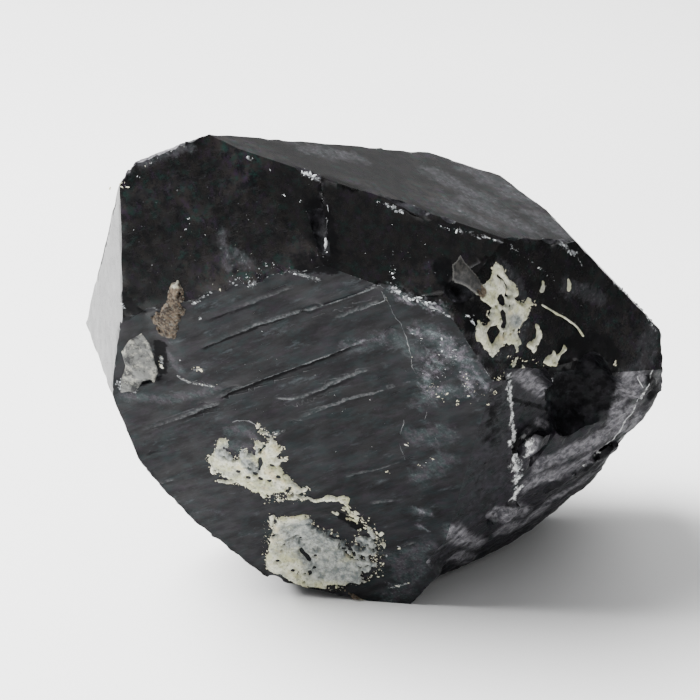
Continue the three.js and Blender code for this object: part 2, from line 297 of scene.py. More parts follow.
# the triangles' width in millimetres on the near side and on the far side
FINE = {GLASS: (0.9, 1.3), FRONT: (0.5, 0.5), BROKEN: (0.48, 0.95), FOOT: (1.3, 1.3)}
FAR = -0.15  # a flat that faces away more than this takes the second width
steps = np.array([FINE[kind][int(turned <= FAR)] for kind, turned in zip(flat_kind, flat_turned)])
for name, kind in (("glass", GLASS), ("front", FRONT), ("broken", BROKEN), ("foot", FOOT)):
    print(name, round(solid_area[flat_kind[flats] == kind].sum() / 100, 1), "square centimetres")

# %% Divided borders


def divide_borders(points, triangles, flats, steps):
    """Splits each edge between two flats into equal stretches no longer than the finer flat's step.
    Returns the points with the new ones added, the stretches as pairs of points, and for each stretch
    its two flats and the edge of the solid that it came from."""
    edges, beside = edges_of(triangles)
    border = flats[beside[:, 0]] != flats[beside[:, 1]]
    edges, beside = edges[border], beside[border]
    span = points[edges[:, 1]] - points[edges[:, 0]]
    step = steps[flats[beside]].min(1)
    count = np.maximum(1, np.ceil(np.linalg.norm(span, axis=1) / step).astype(int))
    owner = np.repeat(np.arange(len(edges)), count - 1)
    place = np.arange(len(owner)) - np.repeat(np.cumsum(count - 1) - (count - 1), count - 1) + 1
    fresh = points[edges[owner, 0]] + span[owner] * (place / count[owner])[:, None]
    index = len(points) + np.arange(len(owner))
    is_first = np.r_[True, owner[1:] != owner[:-1]] if len(owner) else np.zeros(0, bool)
    starts = np.where(is_first, edges[owner, 0], index - 1)
    pieces = np.vstack([
        np.c_[starts, index],
        np.c_[np.where(count > 1, len(points) + np.cumsum(count - 1) - 1, edges[:, 0]), edges[:, 1]],
    ])
    flat_pair = np.vstack([flats[beside][owner], flats[beside]])
    source = np.r_[owner, np.arange(len(edges))]
    return np.vstack([points, fresh]), pieces, flat_pair, (edges[source], beside[source])


all_points, border_pieces, border_flats, border_source = divide_borders(
    solid_points, solid_triangles, flats, steps)
print("border pieces:", len(border_pieces), "points", len(all_points))

# %% Points strewn inside a flat


def plane_of(out):
    """Two directions across a flat, at right angles to each other and to its outward direction."""
    first = np.cross(out, [0.31, 0.95, 0.08])
    first /= np.linalg.norm(first)
    return np.array([first, np.cross(out, first)])


def within(places, flat_points, sides):
    """Which places are inside a flat's border: a ray from them crosses it an odd number of times."""
    a, b = flat_points[sides[:, 0]], flat_points[sides[:, 1]]
    x, y = places[:, :1], places[:, 1:]
    crosses = (a[:, 1] > y) != (b[:, 1] > y)
    rise = np.where(b[:, 1] == a[:, 1], 1e-9, b[:, 1] - a[:, 1])
    return (crosses & (x < a[:, 0] + (y - a[:, 1]) * (b[:, 0] - a[:, 0]) / rise)).sum(1) % 2 == 1


def clearance(places, flat_points, sides):
    """How far each place is from the nearest stretch of the border."""
    a, span = flat_points[sides[:, 0]], flat_points[sides[:, 1]] - flat_points[sides[:, 0]]
    x, y = places[:, :1] - a[:, 0], places[:, 1:] - a[:, 1]
    along = np.clip((x * span[:, 0] + y * span[:, 1]) / np.maximum((span**2).sum(1), 1e-12), 0, 1)
    return np.hypot(x - along * span[:, 0], y - along * span[:, 1]).min(1)


def strewn(flat_points, sides, step):
    """Points inside a flat: a triangular grid, without those outside the border or too near it."""
    row, jitter, clear = 0.866, 0.12, 0.55  # in steps
    low, high = flat_points.min(0), flat_points.max(0)
    rows = np.arange(low[1] + step / 2, high[1], step * row)
    columns = np.arange(low[0] + step / 2, high[0], step)
    if not len(rows) or not len(columns):
        return np.empty((0, 2))
    x, y = np.meshgrid(columns, rows)
    x = x + (np.arange(len(rows)) % 2)[:, None] * step / 2
    grid = np.c_[x.ravel(), y.ravel()]
    grid += RNG.uniform(-jitter, jitter, grid.shape) * step
    grid = grid[within(grid, flat_points, sides)]
    return grid[clearance(grid, flat_points, sides) > clear * step]


# %% Each flat filled with even triangles


def fill_flats(points, triangles, flats, pieces, piece_flats, steps):
    """The whole skin again, flat by flat. Returns points, triangles and each triangle's flat. A fill that
    spills out of its border is cut back, and a flat that can't be filled keeps its own triangles."""
    inside_border, nearest, spilt = 2, 1e-6, 1.001
    out, area = normals_of(points, triangles)
    points = [points]
    total = len(points[0])
    made, owners = [], []
    by_side = np.argsort(piece_flats, axis=0, kind="stable")
    for flat in np.unique(flats):
        own = np.flatnonzero(flats == flat)
        parts = [by_side[np.searchsorted(piece_flats[by_side[:, s], s], flat, "left"):
                         np.searchsorted(piece_flats[by_side[:, s], s], flat, "right"), s] for s in (0, 1)]
        sides = pieces[np.concatenate(parts)]
        facing = (out[own] * area[own, None]).sum(0)
        facing /= np.linalg.norm(facing)
        used, local = np.unique(sides, return_inverse=True)
        local = local.reshape(-1, 2)
        across = plane_of(facing)
        border = points[0][used] @ across.T
        height = (points[0][used] @ facing).mean()
        inner = strewn(border, local, steps[flat])
        flat_points = np.vstack([border, inner])
        where = np.r_[used, total + np.arange(len(inner))]
        result = geometry.delaunay_2d_cdt(
            [Vector(p) for p in flat_points], local.tolist(), [], inside_border, nearest)
        faces = np.array([o[0] for o in result[3]])[np.array(result[2])]
        _, filled = normals_of(in_space(flat_points), faces)
        if filled.sum() > spilt * area[own].sum():
            faces = faces[within(flat_points[faces].mean(1), border, local)]
        if not len(faces):
            made.append(triangles[own])
            owners.append(np.full(len(own), -1))
            continue
        points.append(inner @ across + height * facing)
        total += len(inner)
        made.append(where[faces])
        owners.append(np.full(len(faces), flat))
    return np.vstack(points), np.vstack(made), np.concatenate(owners)


points, triangles, flat_of = fill_flats(
    all_points, solid_triangles, flats, border_pieces, border_flats, steps)
kind_of = np.where(flat_of < 0, BROKEN, flat_kind[flat_of])
print("skin:", len(points), "points", len(triangles), "triangles; refused flats", (flat_of < 0).sum())

# %% [markdown]
# ## Edges, ledges and nooks
# Quartz chips along its edges, and the chipping shows as thin lines, so each point of the skin gets its
# distance from the nearest sharp edge. It also gets its distance from the nearest nook, which the softening
# below reads. Both are found by walking along the mesh from the edges outward, which is quick and follows the
# surface.

# %% Distances from the edges and from the nooks


def turn_of(points, triangles, out, edges, beside):
    """The angle in degrees at edges of the solid: above zero where it sticks out, below in a nook."""
    a, b = out[beside[:, 0]], out[beside[:, 1]]
    angle = np.degrees(np.arccos(np.clip((a * b).sum(1), -1, 1)))
    across = triangles[beside[:, 1]].sum(1) - edges.sum(1)
    below = ((points[across] - points[edges[:, 0]]) * a).sum(1) < 0
    return np.where(below, angle, -angle)


def walk(marked, points, links, reach):
    """Each point's distance from the marked points, along the links, and at most reach."""
    steps = 9  # along the finest triangles, nine steps go past the reach
    far = np.where(marked, 0.0, reach)
    length = np.linalg.norm(points[links[:, 0]] - points[links[:, 1]], axis=1)
    for _ in range(steps):
        np.minimum.at(far, links[:, 0], far[links[:, 1]] + length)
        np.minimum.at(far, links[:, 1], far[links[:, 0]] + length)
    return np.minimum(far, reach)


def marks(pairs):
    """True for the points that any of the pairs ends in."""
    marked = np.zeros(len(points), bool)
    marked[np.unique(pairs)] = True
    return marked


REACH = 3.0
SHARP, LEDGE_TURN, BREAK_TURN = 22, 4, 58  # degrees
DENT, DENT_RADIUS = (-12.5, -21.5), 11.5  # on the front side, at its foot
NOTCH, NOTCH_RADIUS = (0.8, 20.0), 4.4  # on the right side, by its upper corner
angle = turn_of(solid_points, solid_triangles, solid_out, *border_source)
links = edges_of(triangles)[0]
border_kinds = flat_kind[border_flats]
run = points[border_pieces[:, 1]] - points[border_pieces[:, 0]]
run /= np.linalg.norm(run, axis=1)[:, None]
crosswise = np.abs(run @ TO_PART @ face_axes("sideFront")[0]) < 0.9
in_front = (border_kinds == FRONT).all(1)
in_break = (border_kinds == BROKEN).all(1)
dent_middle = on_face("sideFront", [DENT])
in_dent = np.linalg.norm(points[border_pieces[:, 0]] - dent_middle, axis=1) < DENT_RADIUS
ledge_end = in_front & crosswise & (np.abs(angle) > LEDGE_TURN) & ~in_dent
notch_middle = on_face("sideRight", [NOTCH])
in_notch = np.linalg.norm(points[border_pieces[:, 0]] - notch_middle, axis=1) < NOTCH_RADIUS
to_break = (border_kinds == FRONT).any(1) & (border_kinds == BROKEN).any(1)
plain = ~ledge_end & ~in_notch & ~(in_break & (np.abs(angle) < BREAK_TURN))
worn = walk(marks(border_pieces[plain & ~to_break & ~in_front & (angle > SHARP)]), points, links, REACH)
nook = walk(marks(border_pieces[plain & (angle < -SHARP)]), points, links, REACH)
plain &= ~(in_front & in_dent)
print("sharp stretches:", (plain & (angle > SHARP)).sum(), "ledge ends:", ledge_end.sum())

# %% [markdown]
# ## Relief
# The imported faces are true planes. On the real crystal the glassy faces swell by a few hundredths of a
# millimetre, the front side has growth lines across it, and the broken quartz is a jumble of small
# ridges. One height for every point does it all. The three kinds meet smoothly, because a point on a
# border takes the mean of the kinds round it, and the flat that it rests on stays flat. First, though,
# the points are moved towards their neighbours where the solid is too sharp: at the ledges' ends, round
# the dent and inside the break.

# %% Shares, directions and softening


def share_of(kind):
    """How much of the area round each point is of one kind, from 0 to 1."""
    total, part = np.zeros(len(points)), np.zeros(len(points))
    _, area = normals_of(points, triangles)
    for corner in triangles.T:
        np.add.at(total, corner, area)
        np.add.at(part, corner, area * (kind_of == kind))
    return part / np.maximum(total, 1e-12)


def point_normals(points, triangles):
    """The outward direction at each point: the sum of its triangles' directions, by their area."""
    out, area = normals_of(points, triangles)
    total = np.zeros((len(points), 3))
    for corner in triangles.T:
        np.add.at(total, corner, out * area[:, None])
    return total / np.maximum(np.linalg.norm(total, axis=1), 1e-12)[:, None]


def relaxed(points, weight, rounds):
    """Points moved again and again towards the mean of their neighbours, by a weight from 0 to 1."""
    ends = np.vstack([links, links[:, ::-1]])
    count = np.maximum(np.bincount(ends[:, 0], minlength=len(points)), 1)
    for _ in range(rounds):
        mean = [np.bincount(ends[:, 0], points[ends[:, 1], k], len(points)) / count for k in range(3)]
        points = points + weight[:, None] * (np.transpose(mean) - points)
    return points


# %% Places softened
from_end = walk(marks(border_pieces[ledge_end]), points, links, REACH)
all_front = share_of(FRONT) > 0.999
all_broken = share_of(BROKEN) > 0.999
off_edges = smoothstep(nook.clip(0, worn), 0.1, 1)
ends_weight = smoothstep(from_end, 2.6, 0.3) * np.where(from_end < 1, 1, off_edges)
points = relaxed(points, 0.9 * ends_weight * all_front, 30)
round_dent = smoothstep(-np.linalg.norm(points - dent_middle, axis=1), -12, -10.5)
points = relaxed(points, 0.7 * all_front * round_dent, 5)
points = relaxed(points, 0.8 * all_broken * smoothstep(worn, 0.1, 0.8), 8)
print("points softened:", (ends_weight * all_front > 0.1).sum())

# %% The relief itself
SWELL, LINE, RIDGE, GRAIN, CHUNK = 0.035, 0.05, 0.42, 0.11, 0.16  # heights in millimetres
LOWEST, HIGHEST = -0.6, 0.3
grown = to_crystal(points)
swell = SWELL * layered(grown, 9, 3)
growth_lines = LINE * layered(grown, (60, 16, 1.3), 3) + LINE * layered(grown, (60, 30, 3.4), 2)
ridges = RIDGE * (0.62 - np.abs(layered(grown, (3.1, 3.4, 2.3), 3))) + GRAIN * layered(grown, 0.9, 2)
chunks = smoothstep(noise(grown, 2.2), -0.2, 0.5)
height = share_of(GLASS) * swell + share_of(FRONT) * growth_lines + share_of(BROKEN) * ridges
height -= CHUNK * chunks * smoothstep(-worn, -0.7, 0) * (1 - share_of(BROKEN))
height *= smoothstep(points[:, 2], 0.05, 1.2)
skin_points = points + point_normals(points, triangles) * np.clip(height, LOWEST, HIGHEST)[:, None]
print("heights from", height.min().round(2), "to", height.max().round(2), "millimetres")

# %% [markdown]
# ## Pale places and painted shade
# Some places are whiter than the rest: druse, which is a skin of tiny crystals, and stone that a blow has
# crushed. The deep hollow, the notch, the cracks and other places where shade falls are painted darker.
# Each is painted as a few strokes on a face, in millimetres along and up it, and every point of the skin
# takes how far inside the nearest stroke it lies. Noise in the finish then frays the edges.

# %% How far inside a stroke


def inside(points, face, radius, places):
    """1 on a stroke's line, falling evenly to 0 at its radius: a distance from each of its stretches."""
    line = on_face(face, places)
    starts, ends = (line[:-1], line[1:]) if len(line) > 1 else (line, line)
    best = np.zeros(len(points))
    for a, b in zip(starts, ends):
        span = b - a
        t = np.clip((points - a) @ span / max(span @ span, 1e-9), 0, 1)
        best = np.maximum(best, 1 - np.linalg.norm(points - a - t[:, None] * span, axis=1) / radius)
    return best


def deepest_in(points, strokes):
    """How far inside the nearest stroke each point lies. Strokes are {face: [(radius, places), ...]}."""
    return np.max([inside(points, face, *stroke) for face, own in strokes.items() for stroke in own], 0)


# %% Druse
FROST = {
    "sideFront": [
        (1.5, [(15.6, 16.5), (18.8, 16.2)]), (2, [(17.3, 15.9)]), (0.8, [(13.4, 16.8), (16, 16.9)]),
        (3.6, [(23.4, 10.6), (23, 9)]), (3.4, [(26.5, 13.4), (27.6, 8)]), (2.6, [(21, 7.6), (19, 4)]),
        (1.3, [(23, 16.4), (25.9, 14.8), (27.9, 12.9)]), (0.5, [(8.4, 11.7), (12, 11.6)]),
        (0.5, [(13.9, 7), (17.8, 7.1)]), (0.4, [(-13.3, 8.6), (-11.6, 8.7), (-10, 8.1), (-9.1, 6.7)]),
        (0.3, [(-7, 4.6), (-4.3, 5), (-2.2, 5.5)]),
        (2.2, [(24.4, 24.6), (25.2, 22.2), (27.1, 20.8), (29, 18.8)]), (2.6, [(27.2, 6.5), (25.6, 2.1)]),
        (2.2, [(20, 4.5), (23, 3.2)]), (1.8, [(28.2, 6.1), (28.1, 2.3)]), (1, [(5.4, -17.6), (7.1, -20.2)]),
        (1, [(4.2, -21.7), (5.1, -23.4)]), (0.7, [(-7.5, -32.3), (-5.8, -34.4)]),
    ],
    "wedge": [
        (0.7, [(16.3, 12.5, -1.4), (14.6, 4.1, -2.3), (12.9, -2.5, -2.2), (11.6, -6.3, -1.7)]),
        (0.6, [(15.1, 13.2), (13.9, 7.5), (12.1, 0.4)]),
        (0.9, [(10.8, -1.9), (10.8, -6.8, -1.3), (10.3, -6.6), (9.7, -7.2, 0.6)]),
        (1.5, [(9.7, -7.6, 0.8), (9.3, -10, 0.8), (8.9, -12, 0.8), (8.4, -14)]),
        (0.7, [(8.6, -13, 0.3), (7.9, -15.9), (6.7, -18.9)]), (1, [(6, -17.8), (8.6, -16.6)]),
        (1.3, [(13.5, -7.6, -2.2), (13.3, -5.8, 0.6), (12.2, -7.3, 1)]),
        (0.42, [(37, -11.5, -0.5), (35, -12.5, 0.8), (32.6, -15.7, 0.7), (30.2, -19.1), (27.7, -21.1),
                (24.5, -23.4), (21.9, -26.3, -1.5), (19, -25.2, -0.7)]),
    ],
    "tipTop": [
        (0.6, [(-17.2, 1.4), (-18.2, 0.7)]), (0.5, [(-12.8, -2.1), (-14.2, -3.8)]),
        (0.7, [(-1.8, -14.1), (-3.9, -15.9)]), (0.5, [(-11.7, -9.7), (-12.7, -11.6)]),
        (0.6, [(-6.7, -16.4), (-10.2, -16.7)]),
    ],
    "tipFront": [
        (0.7, [(-13.4, 34.4), (-12.2, 34.8)]),
    ],
}
frost = deepest_in(skin_points, FROST)
print("frosted points:", (frost > 0).sum())

# %% Cloudy films
PALE = {
    "tipTop": [
        (6, [(1, -9.5), (-6, -14.5)]), (6, [(-13.5, -4), (-19, -10)]), (4, [(-5.6, 22.4), (-4.3, 13.8)]),
        (5.5, [(-4, -0.5), (-10, -6)]), (5, [(-12.9, -15), (-18.1, -16.7)]),
        (4, [(-16.3, 2), (-21.3, -2.9)]),
    ],
    "sideRight": [
        (2.6, [(27.5, -16.4), (26, -17.6), (23.6, -19), (21.2, -19.7)]),
        (2.2, [(17.5, 3.1), (20.1, -0.9), (21.5, -4.6)]), (2, [(17.9, 2.6), (17.1, 1.2)]),
        (1.8, [(23.3, -17.1), (26.5, -17)]), (1.8, [(23.6, -21.4), (25.6, -19.6), (27.3, -17.9)]),
        (1.7, [(-0.6, 12.5), (-0.9, 8), (0.5, 5.2), (4, 3), (8, 4.6)]),
        (1.5, [(9.4, 16.6), (10.8, 12), (10, 8)]),
    ],
    "tipFront": [
        (1.6, [(2.6, 23.2), (1.7, 17.9)]), (1.9, [(3.6, 19.6), (5.1, 17.2)]),
        (1.5, [(-6.9, 36.5), (-2.3, 37), (1.8, 36.3)]),
    ],
    "sideFront": [
        (1.6, [(5.3, -18.9), (7.5, -19.4)]), (1.4, [(4.3, -22.2)]), (2.4, [(-16.3, 4.8), (-11.4, 1.4)]),
        (3.4, [(9.4, -12), (15.5, -9.6)]), (2.5, [(-1.2, -27.4), (3.8, -26.6)]),
        (3.8, [(25.1, 15.9), (26.8, 11), (28.6, 5.5)]), (3.2, [(17.4, 2.9), (22.9, 3.5)]),
        (3.8, [(13.6, -3.5), (18.2, -4.9)]), (3, [(12, 16.5), (19, 16), (22, 12)]),
        (1.8, [(-26.4, 20.1), (-19.4, 16.5), (-11.5, 15.9)]), (1.4, [(-15, 25.1), (-14.6, 21.2)]),
        (4, [(-3.3, -27.9), (-4.7, -34), (-8.3, -36.2)]), (3, [(0.6, -29.3), (-3, -33.2)]),
        (1.8, [(-14.4, 7.1), (-12.1, 7.2), (-10.9, 5.5), (-10.6, 2.8)]),
    ],
    "wedge": [
        (1.9, [(17.4, 10.4, -1.7), (18.6, 4.7, -2.5), (19.7, -1.5, -3.1)]),
        (1.5, [(17.5, 8.3, -2.1), (19.7, 0.8, -2.5)]), (1.2, [(16.5, -6.9, -2.8), (17.2, -8.9, -2)]),
        (1.6, [(14.4, -7.2, -2.5), (14, -5.9, 0.7), (12.9, -7.2, 1.1)]),
        (3.2, [(13, -14.3), (16.4, -16), (19.8, -18), (23.4, -19.8), (26.9, -20.6), (29.5, -17.5)]),
        (3.4, [(10.4, -17.7), (14.3, -21.6, -0.5), (17.4, -22.5, -0.4), (21, -23.5)]),
        (2.2, [(12.1, -34.2, -3.8), (15.8, -35.5, -3.7), (18.8, -35.3, -3.4)]),
        (2.6, [(-4.6, -13.5), (-3.5, -22.3, -1.3), (-1.8, -31.3, -3.5)]),
        (2.4, [(-6.1, -27.4, -2.8), (-4.5, -36.4, -4.9)]),
        (2.6, [(2.3, -30.9, -3.3), (5.7, -36.5, -4.6), (9.8, -35.9, -4.3)]),
        (2.2, [(32.5, -7.4), (30.7, -11.5), (28.3, -15.5), (26.4, -18.2)]),
        (1.8, [(33.8, -11.1), (31.9, -14.4, 0.6)]),
        (2.4, [(2.6, -17.9), (4.5, -19.6, 1), (7.5, -32.3, -4.2)]), (1.8, [(8, -21), (4, -26)]),
    ],
    "rim": [
        (1.8, [(29.7, -17.1), (32.3, -14.7)]),
    ],
}
pale = deepest_in(skin_points, PALE)
print("filmed points:", (pale > 0).sum())

# %% Painted shade: the hollow, the notch, cracks and other recesses
SHADE = {
    "wedge": [
        (6.5, [(13.2, 12.3, 4.4), (10.6, 6.6, 4.4), (8.6, 1.2, 4.4)]),
        (3.4, [(23.4, -8.4, -5.9), (26.5, -8.9, -4), (28.9, -10.4, -2.4)]),
        (3.4, [(21.8, -10.6, -4.5), (24.7, -11.6, -2.6), (27.3, -12.5, -1.8)]),
        (2.8, [(19, -10.9, -1.8), (21.6, -12.5, -1.7)]), (4.4, [(22.5, 3, -4.5), (27, -3, -4)]),
        (0.5, [(14.9, 3.9, -2.3), (16.7, -0.6, -2.6), (19, -7.6, -3.5)]),
        (3.6, [(27, 3, -1.5), (29.3, -3.1, -3.8), (29.9, -3.6, -1.8)]),
        (1.6, [(35.3, -12.9, 0.8), (34.6, -21.5, -0.4)]),
        (2.6, [(25, 3.5, -0.7), (27.7, -5.4, -5.2), (29, -5.2, -4.1), (29.7, -7.6, -3.6)]),
        (1.2, [(28.4, -8.6, -3.6), (29.4, -9.6, -3.4)]),
        (3.6, [(22.5, 6, -0.4), (24.7, 5.2, -1.2), (27, 3, -1.5), (29.4, -3.2, -3.4), (30, -3.6, -1.2)]),
    ],
    "sideRight": [
        (3.4, [(8.2, -5.2), (11.3, -5.5), (14.5, -7.4), (16.5, -10.7), (17.2, -14.3)]),
        (3, [(2.9, 21.4, -2.4), (1.2, 19, -1.5)]), (2.6, [(0.9, 17.4), (1.4, 14.4)]), (1.8, [(-0.5, 13.5)]),
    ],
    "rim": [
        (0.9, [(25.8, -19.3, 0.5), (23.3, -19.4, 0.6), (20.8, -18.9, 0.9), (18.5, -23.4)]),
    ],
    "tipRight": [
        (2.8, [(-2.1, 16.9), (-3.8, 14.4, -0.5), (-6.7, 11.5)]), (2.2, [(-10, 13.7, -2), (-8.7, 9.7)]),
    ],
    "sideFront": [
        (1.7, [(-15.1, 26.6, -0.8), (-17.7, 22.1, -0.6)]),
        (2.2, [(-6.5, -16.7, -0.5), (-5.7, -19.5, -0.8)]),
    ],
    "tipFront": [
        (1.5, [(-16.6, 18.6), (-14.6, 15)]),
    ],
}
shade = deepest_in(skin_points, SHADE)
print("shaded points:", (shade > 0).sum())

# %% [markdown]
# ## Where flecks lie
# Each stroke of flecks is how widely they scatter, how many there are, their smallest and largest size,
# their tint from cream at 0 to white at 1, and the line. Where many lie close, the stone under them is
# crushed too.

# %% Strokes of flecks
FLECKS = {
    "sideFront": [
        (0.8, 90, (0.25, 0.8), 0.85, [(-25.6, 22, -0.3), (-24.6, 21.4, -0.4), (-23.8, 20.4, -0.5)]),
        (0.5, 16, (0.2, 0.6), 0.35, [(-16.2, 24.5, -0.8), (-17.4, 22.4, -0.7)]),
        (0.4, 90, (0.25, 0.9), 0.9, [(24.6, 26.2), (24.3, 24.4), (25.3, 22.5), (27.1, 21.2), (28.8, 19.1)]),
        (0.16, 15, (0.2, 0.4), 0.8, [(28.8, 18.9), (30.2, 16)]),
        (0.32, 14, (0.3, 0.7), 0.9, [(31, 15.1), (31.3, 13)]),
        (0.2, 11, (0.12, 0.3), 0.55, [(12.5, 25.3), (15.4, 25.3), (18.4, 25.9), (22, 26.3), (23.2, 25.4)]),
        (0.2, 11, (0.1, 0.22), 0.5, [(22.5, 24), (22.1, 20.7), (22.2, 17.9), (21.5, 15.3), (21, 13.1),
                                     (19.7, 9.8), (19.8, 7.4)]),
        (0.48, 70, (0.15, 0.5), 0.8, [(1.7, 34.1), (4.8, 34.2), (5.1, 32.8), (8.1, 35), (12, 32.9),
                                      (15.1, 30.5)]),
        (0.24, 24, (0.15, 0.5), 0.7, [(-5.4, 32.8), (-2.8, 33.4), (-0.7, 33.9)]),
        (0.16, 6, (0.3, 0.6), 0.95, [(-5.8, 29.7)]), (0.16, 6, (0.3, 0.5), 0.2, [(-0.1, 33.7)]),
        (0.32, 16, (0.2, 0.6), 0.1, [(-12.1, 20.9), (-11, 20.3)]),
        (0.32, 30, (0.15, 0.4), 0.5, [(-15.7, 20.6), (-14.4, 18.6), (-11.2, 16.7)]),
        (0.24, 12, (0.3, 0.6), 0.9, [(-16.9, 35.6), (-16.2, 35.1)]),
        (8, 50, (0.07, 0.18), 0.6, [(-12.6, 18.6), (4.5, 7.9), (15, -5.1)]),
        (0.24, 7, (0.3, 0.6), 0.1, [(22.8, 0.7)]), (0.24, 7, (0.3, 0.6), 0.15, [(26.9, -1.3)]),
        (0.32, 9, (0.3, 0.6), 0.15, [(30.5, 2.4)]), (0.24, 6, (0.3, 0.5), 0.15, [(28.5, 0.2)]),
        (1.28, 26, (0.15, 0.4), 0.3, [(20.6, 5.5), (21.4, 2.3)]),
        (1.28, 26, (0.15, 0.4), 0.4, [(26.1, 4.7), (26.2, 0.6)]),
        (0.19, 5, (0.2, 0.5), 0.3, [(11.2, -4.7)]), (0.19, 5, (0.2, 0.4), 0.3, [(13.4, -8.9)]),
        (0.19, 5, (0.2, 0.4), 0.3, [(10.6, -9.9)]), (0.19, 5, (0.2, 0.4), 0.3, [(5.2, -9.6)]),
        (0.19, 5, (0.2, 0.4), 0.3, [(-1.2, -25.6)]),
        (0.24, 14, (0.25, 0.6), 0.5, [(-7.5, -33.8), (-4, -33.7)]),
        (1.44, 50, (0.15, 0.45), 0.35, [(-12.5, -28.7), (-6.3, -27)]),
        (1.28, 40, (0.12, 0.35), 0.3, [(-17.8, 5.3), (-11.2, -10.3)]),
        (0.48, 30, (0.15, 0.4), 0.5, [(-8.7, 6.1), (-8.7, 4.3), (-5.6, 4.3)]),
        (1.92, 60, (0.12, 0.4), 0.75, [(21.9, 16.1), (26.3, 13.4), (26.5, 8.9), (23, 6.9), (20.4, 10)]),
        (1.1, 110, (0.15, 0.5), 0.2, [(-5.2, -14.5), (-3.6, -19), (-4.2, -24), (-7.5, -29.5)]),
        (1.1, 50, (0.15, 0.45), 0.2, [(-9, -23), (-6.5, -25.5), (-8.5, -27.5)]),
        (1, 40, (0.15, 0.4), 0.2, [(-16, -8.5), (-10.5, -9.5)]),
        (1, 40, (0.12, 0.4), 0.2, [(-17.5, -12.5), (-24, -20.5)]),
    ],
    "tipFront": [
        (0.4, 11, (0.2, 0.5), 0.3, [(-13, 34.4), (-11.4, 34.8), (-10, 34)]),
        (0.3, 11, (0.12, 0.3), 0.6, [(-8.2, 34.8), (-5.2, 36.2), (-1.5, 36.9), (2.1, 37)]),
        (0.13, 12, (0.2, 0.4), 0.95, [(10, 32.4), (10.6, 31.6)]),
        (0.13, 3, (0.25, 0.4), 0.95, [(13.3, 25.4)]), (0.16, 4, (0.25, 0.4), 0.95, [(15.2, 24)]),
        (0.13, 3, (0.2, 0.3), 0.95, [(12.4, 29.5)]), (0.13, 3, (0.25, 0.4), 0.8, [(-2.1, 26.6)]),
        (0.13, 3, (0.25, 0.4), 0.9, [(-3.1, 25.3)]),
        (8, 50, (0.07, 0.16), 0.6, [(-8.1, 23.6), (12.6, 18.9)]),
    ],
    "tipRight": [
        (0.35, 28, (0.25, 0.8), 0.9, [(0.9, 21.4), (1.5, 19)]),
        (0.32, 34, (0.2, 0.6), 0.7, [(4.5, 10), (5.7, 5.7)]),
        (0.26, 50, (0.2, 0.5), 0.7, [(7.3, 0.5), (11.6, -8.6), (15.9, -18.8)]),
        (0.14, 8, (0.12, 0.3), 0.9, [(-0.5, 16.8), (-3.2, 14.1), (-6.9, 11.9), (-8.6, 9.7)]),
        (6.4, 30, (0.07, 0.16), 0.6, [(-1.4, 7.5), (3.5, -5.7)]),
    ],
    "sideRight": [
        (6.4, 30, (0.07, 0.2), 0.6, [(14.7, 4.9), (17.5, -9.5)]),
        (0.32, 60, (0.2, 0.6), 0.7, [(25.2, -4.3), (27.8, -11.5), (27.1, -18.1)]),
        (0.4, 28, (0.3, 0.9), 0.85, [(21, 9.1), (21.3, 6.8), (22.3, 4.7)]),
        (0.1, 9, (0.12, 0.2), 0.8, [(22, 4.3), (22, 2.5)]),
    ],
    "wedge": [
        (0.32, 16, (0.2, 0.5), 0.2, [(17, 16.5), (21.6, 9.1)]), (0.4, 10, (0.3, 0.6), 0.2, [(26.4, 1.2)]),
        (0.32, 8, (0.3, 0.6), 0.2, [(31.4, -4)]),
        (0.16, 60, (0.15, 0.5), 0.9, [(16, 13, -1.3), (14.6, 4.1, -2.3), (12.9, -2.5, -2.2),
                                      (11.6, -6.3, -1.7)]),
        (0.5, 40, (0.2, 0.6), 0.9, [(10.9, -7, -0.6), (9.9, -8.2, 1), (8.8, -13.5)]),
        (0.6, 11, (0.2, 0.5), 0.8, [(8, -15.5), (6.7, -18.9)]),
    ],
}
CROWD = 11
dense = {face: [(1.3 * width + 0.3, line) for width, count, _, _, line in own if width < 1 and count > CROWD]
         for face, own in FLECKS.items()}
crushed = deepest_in(skin_points, dense)
print("strokes of flecks:", sum(map(len, FLECKS.values())), "crushed points:", (crushed > 0).sum())
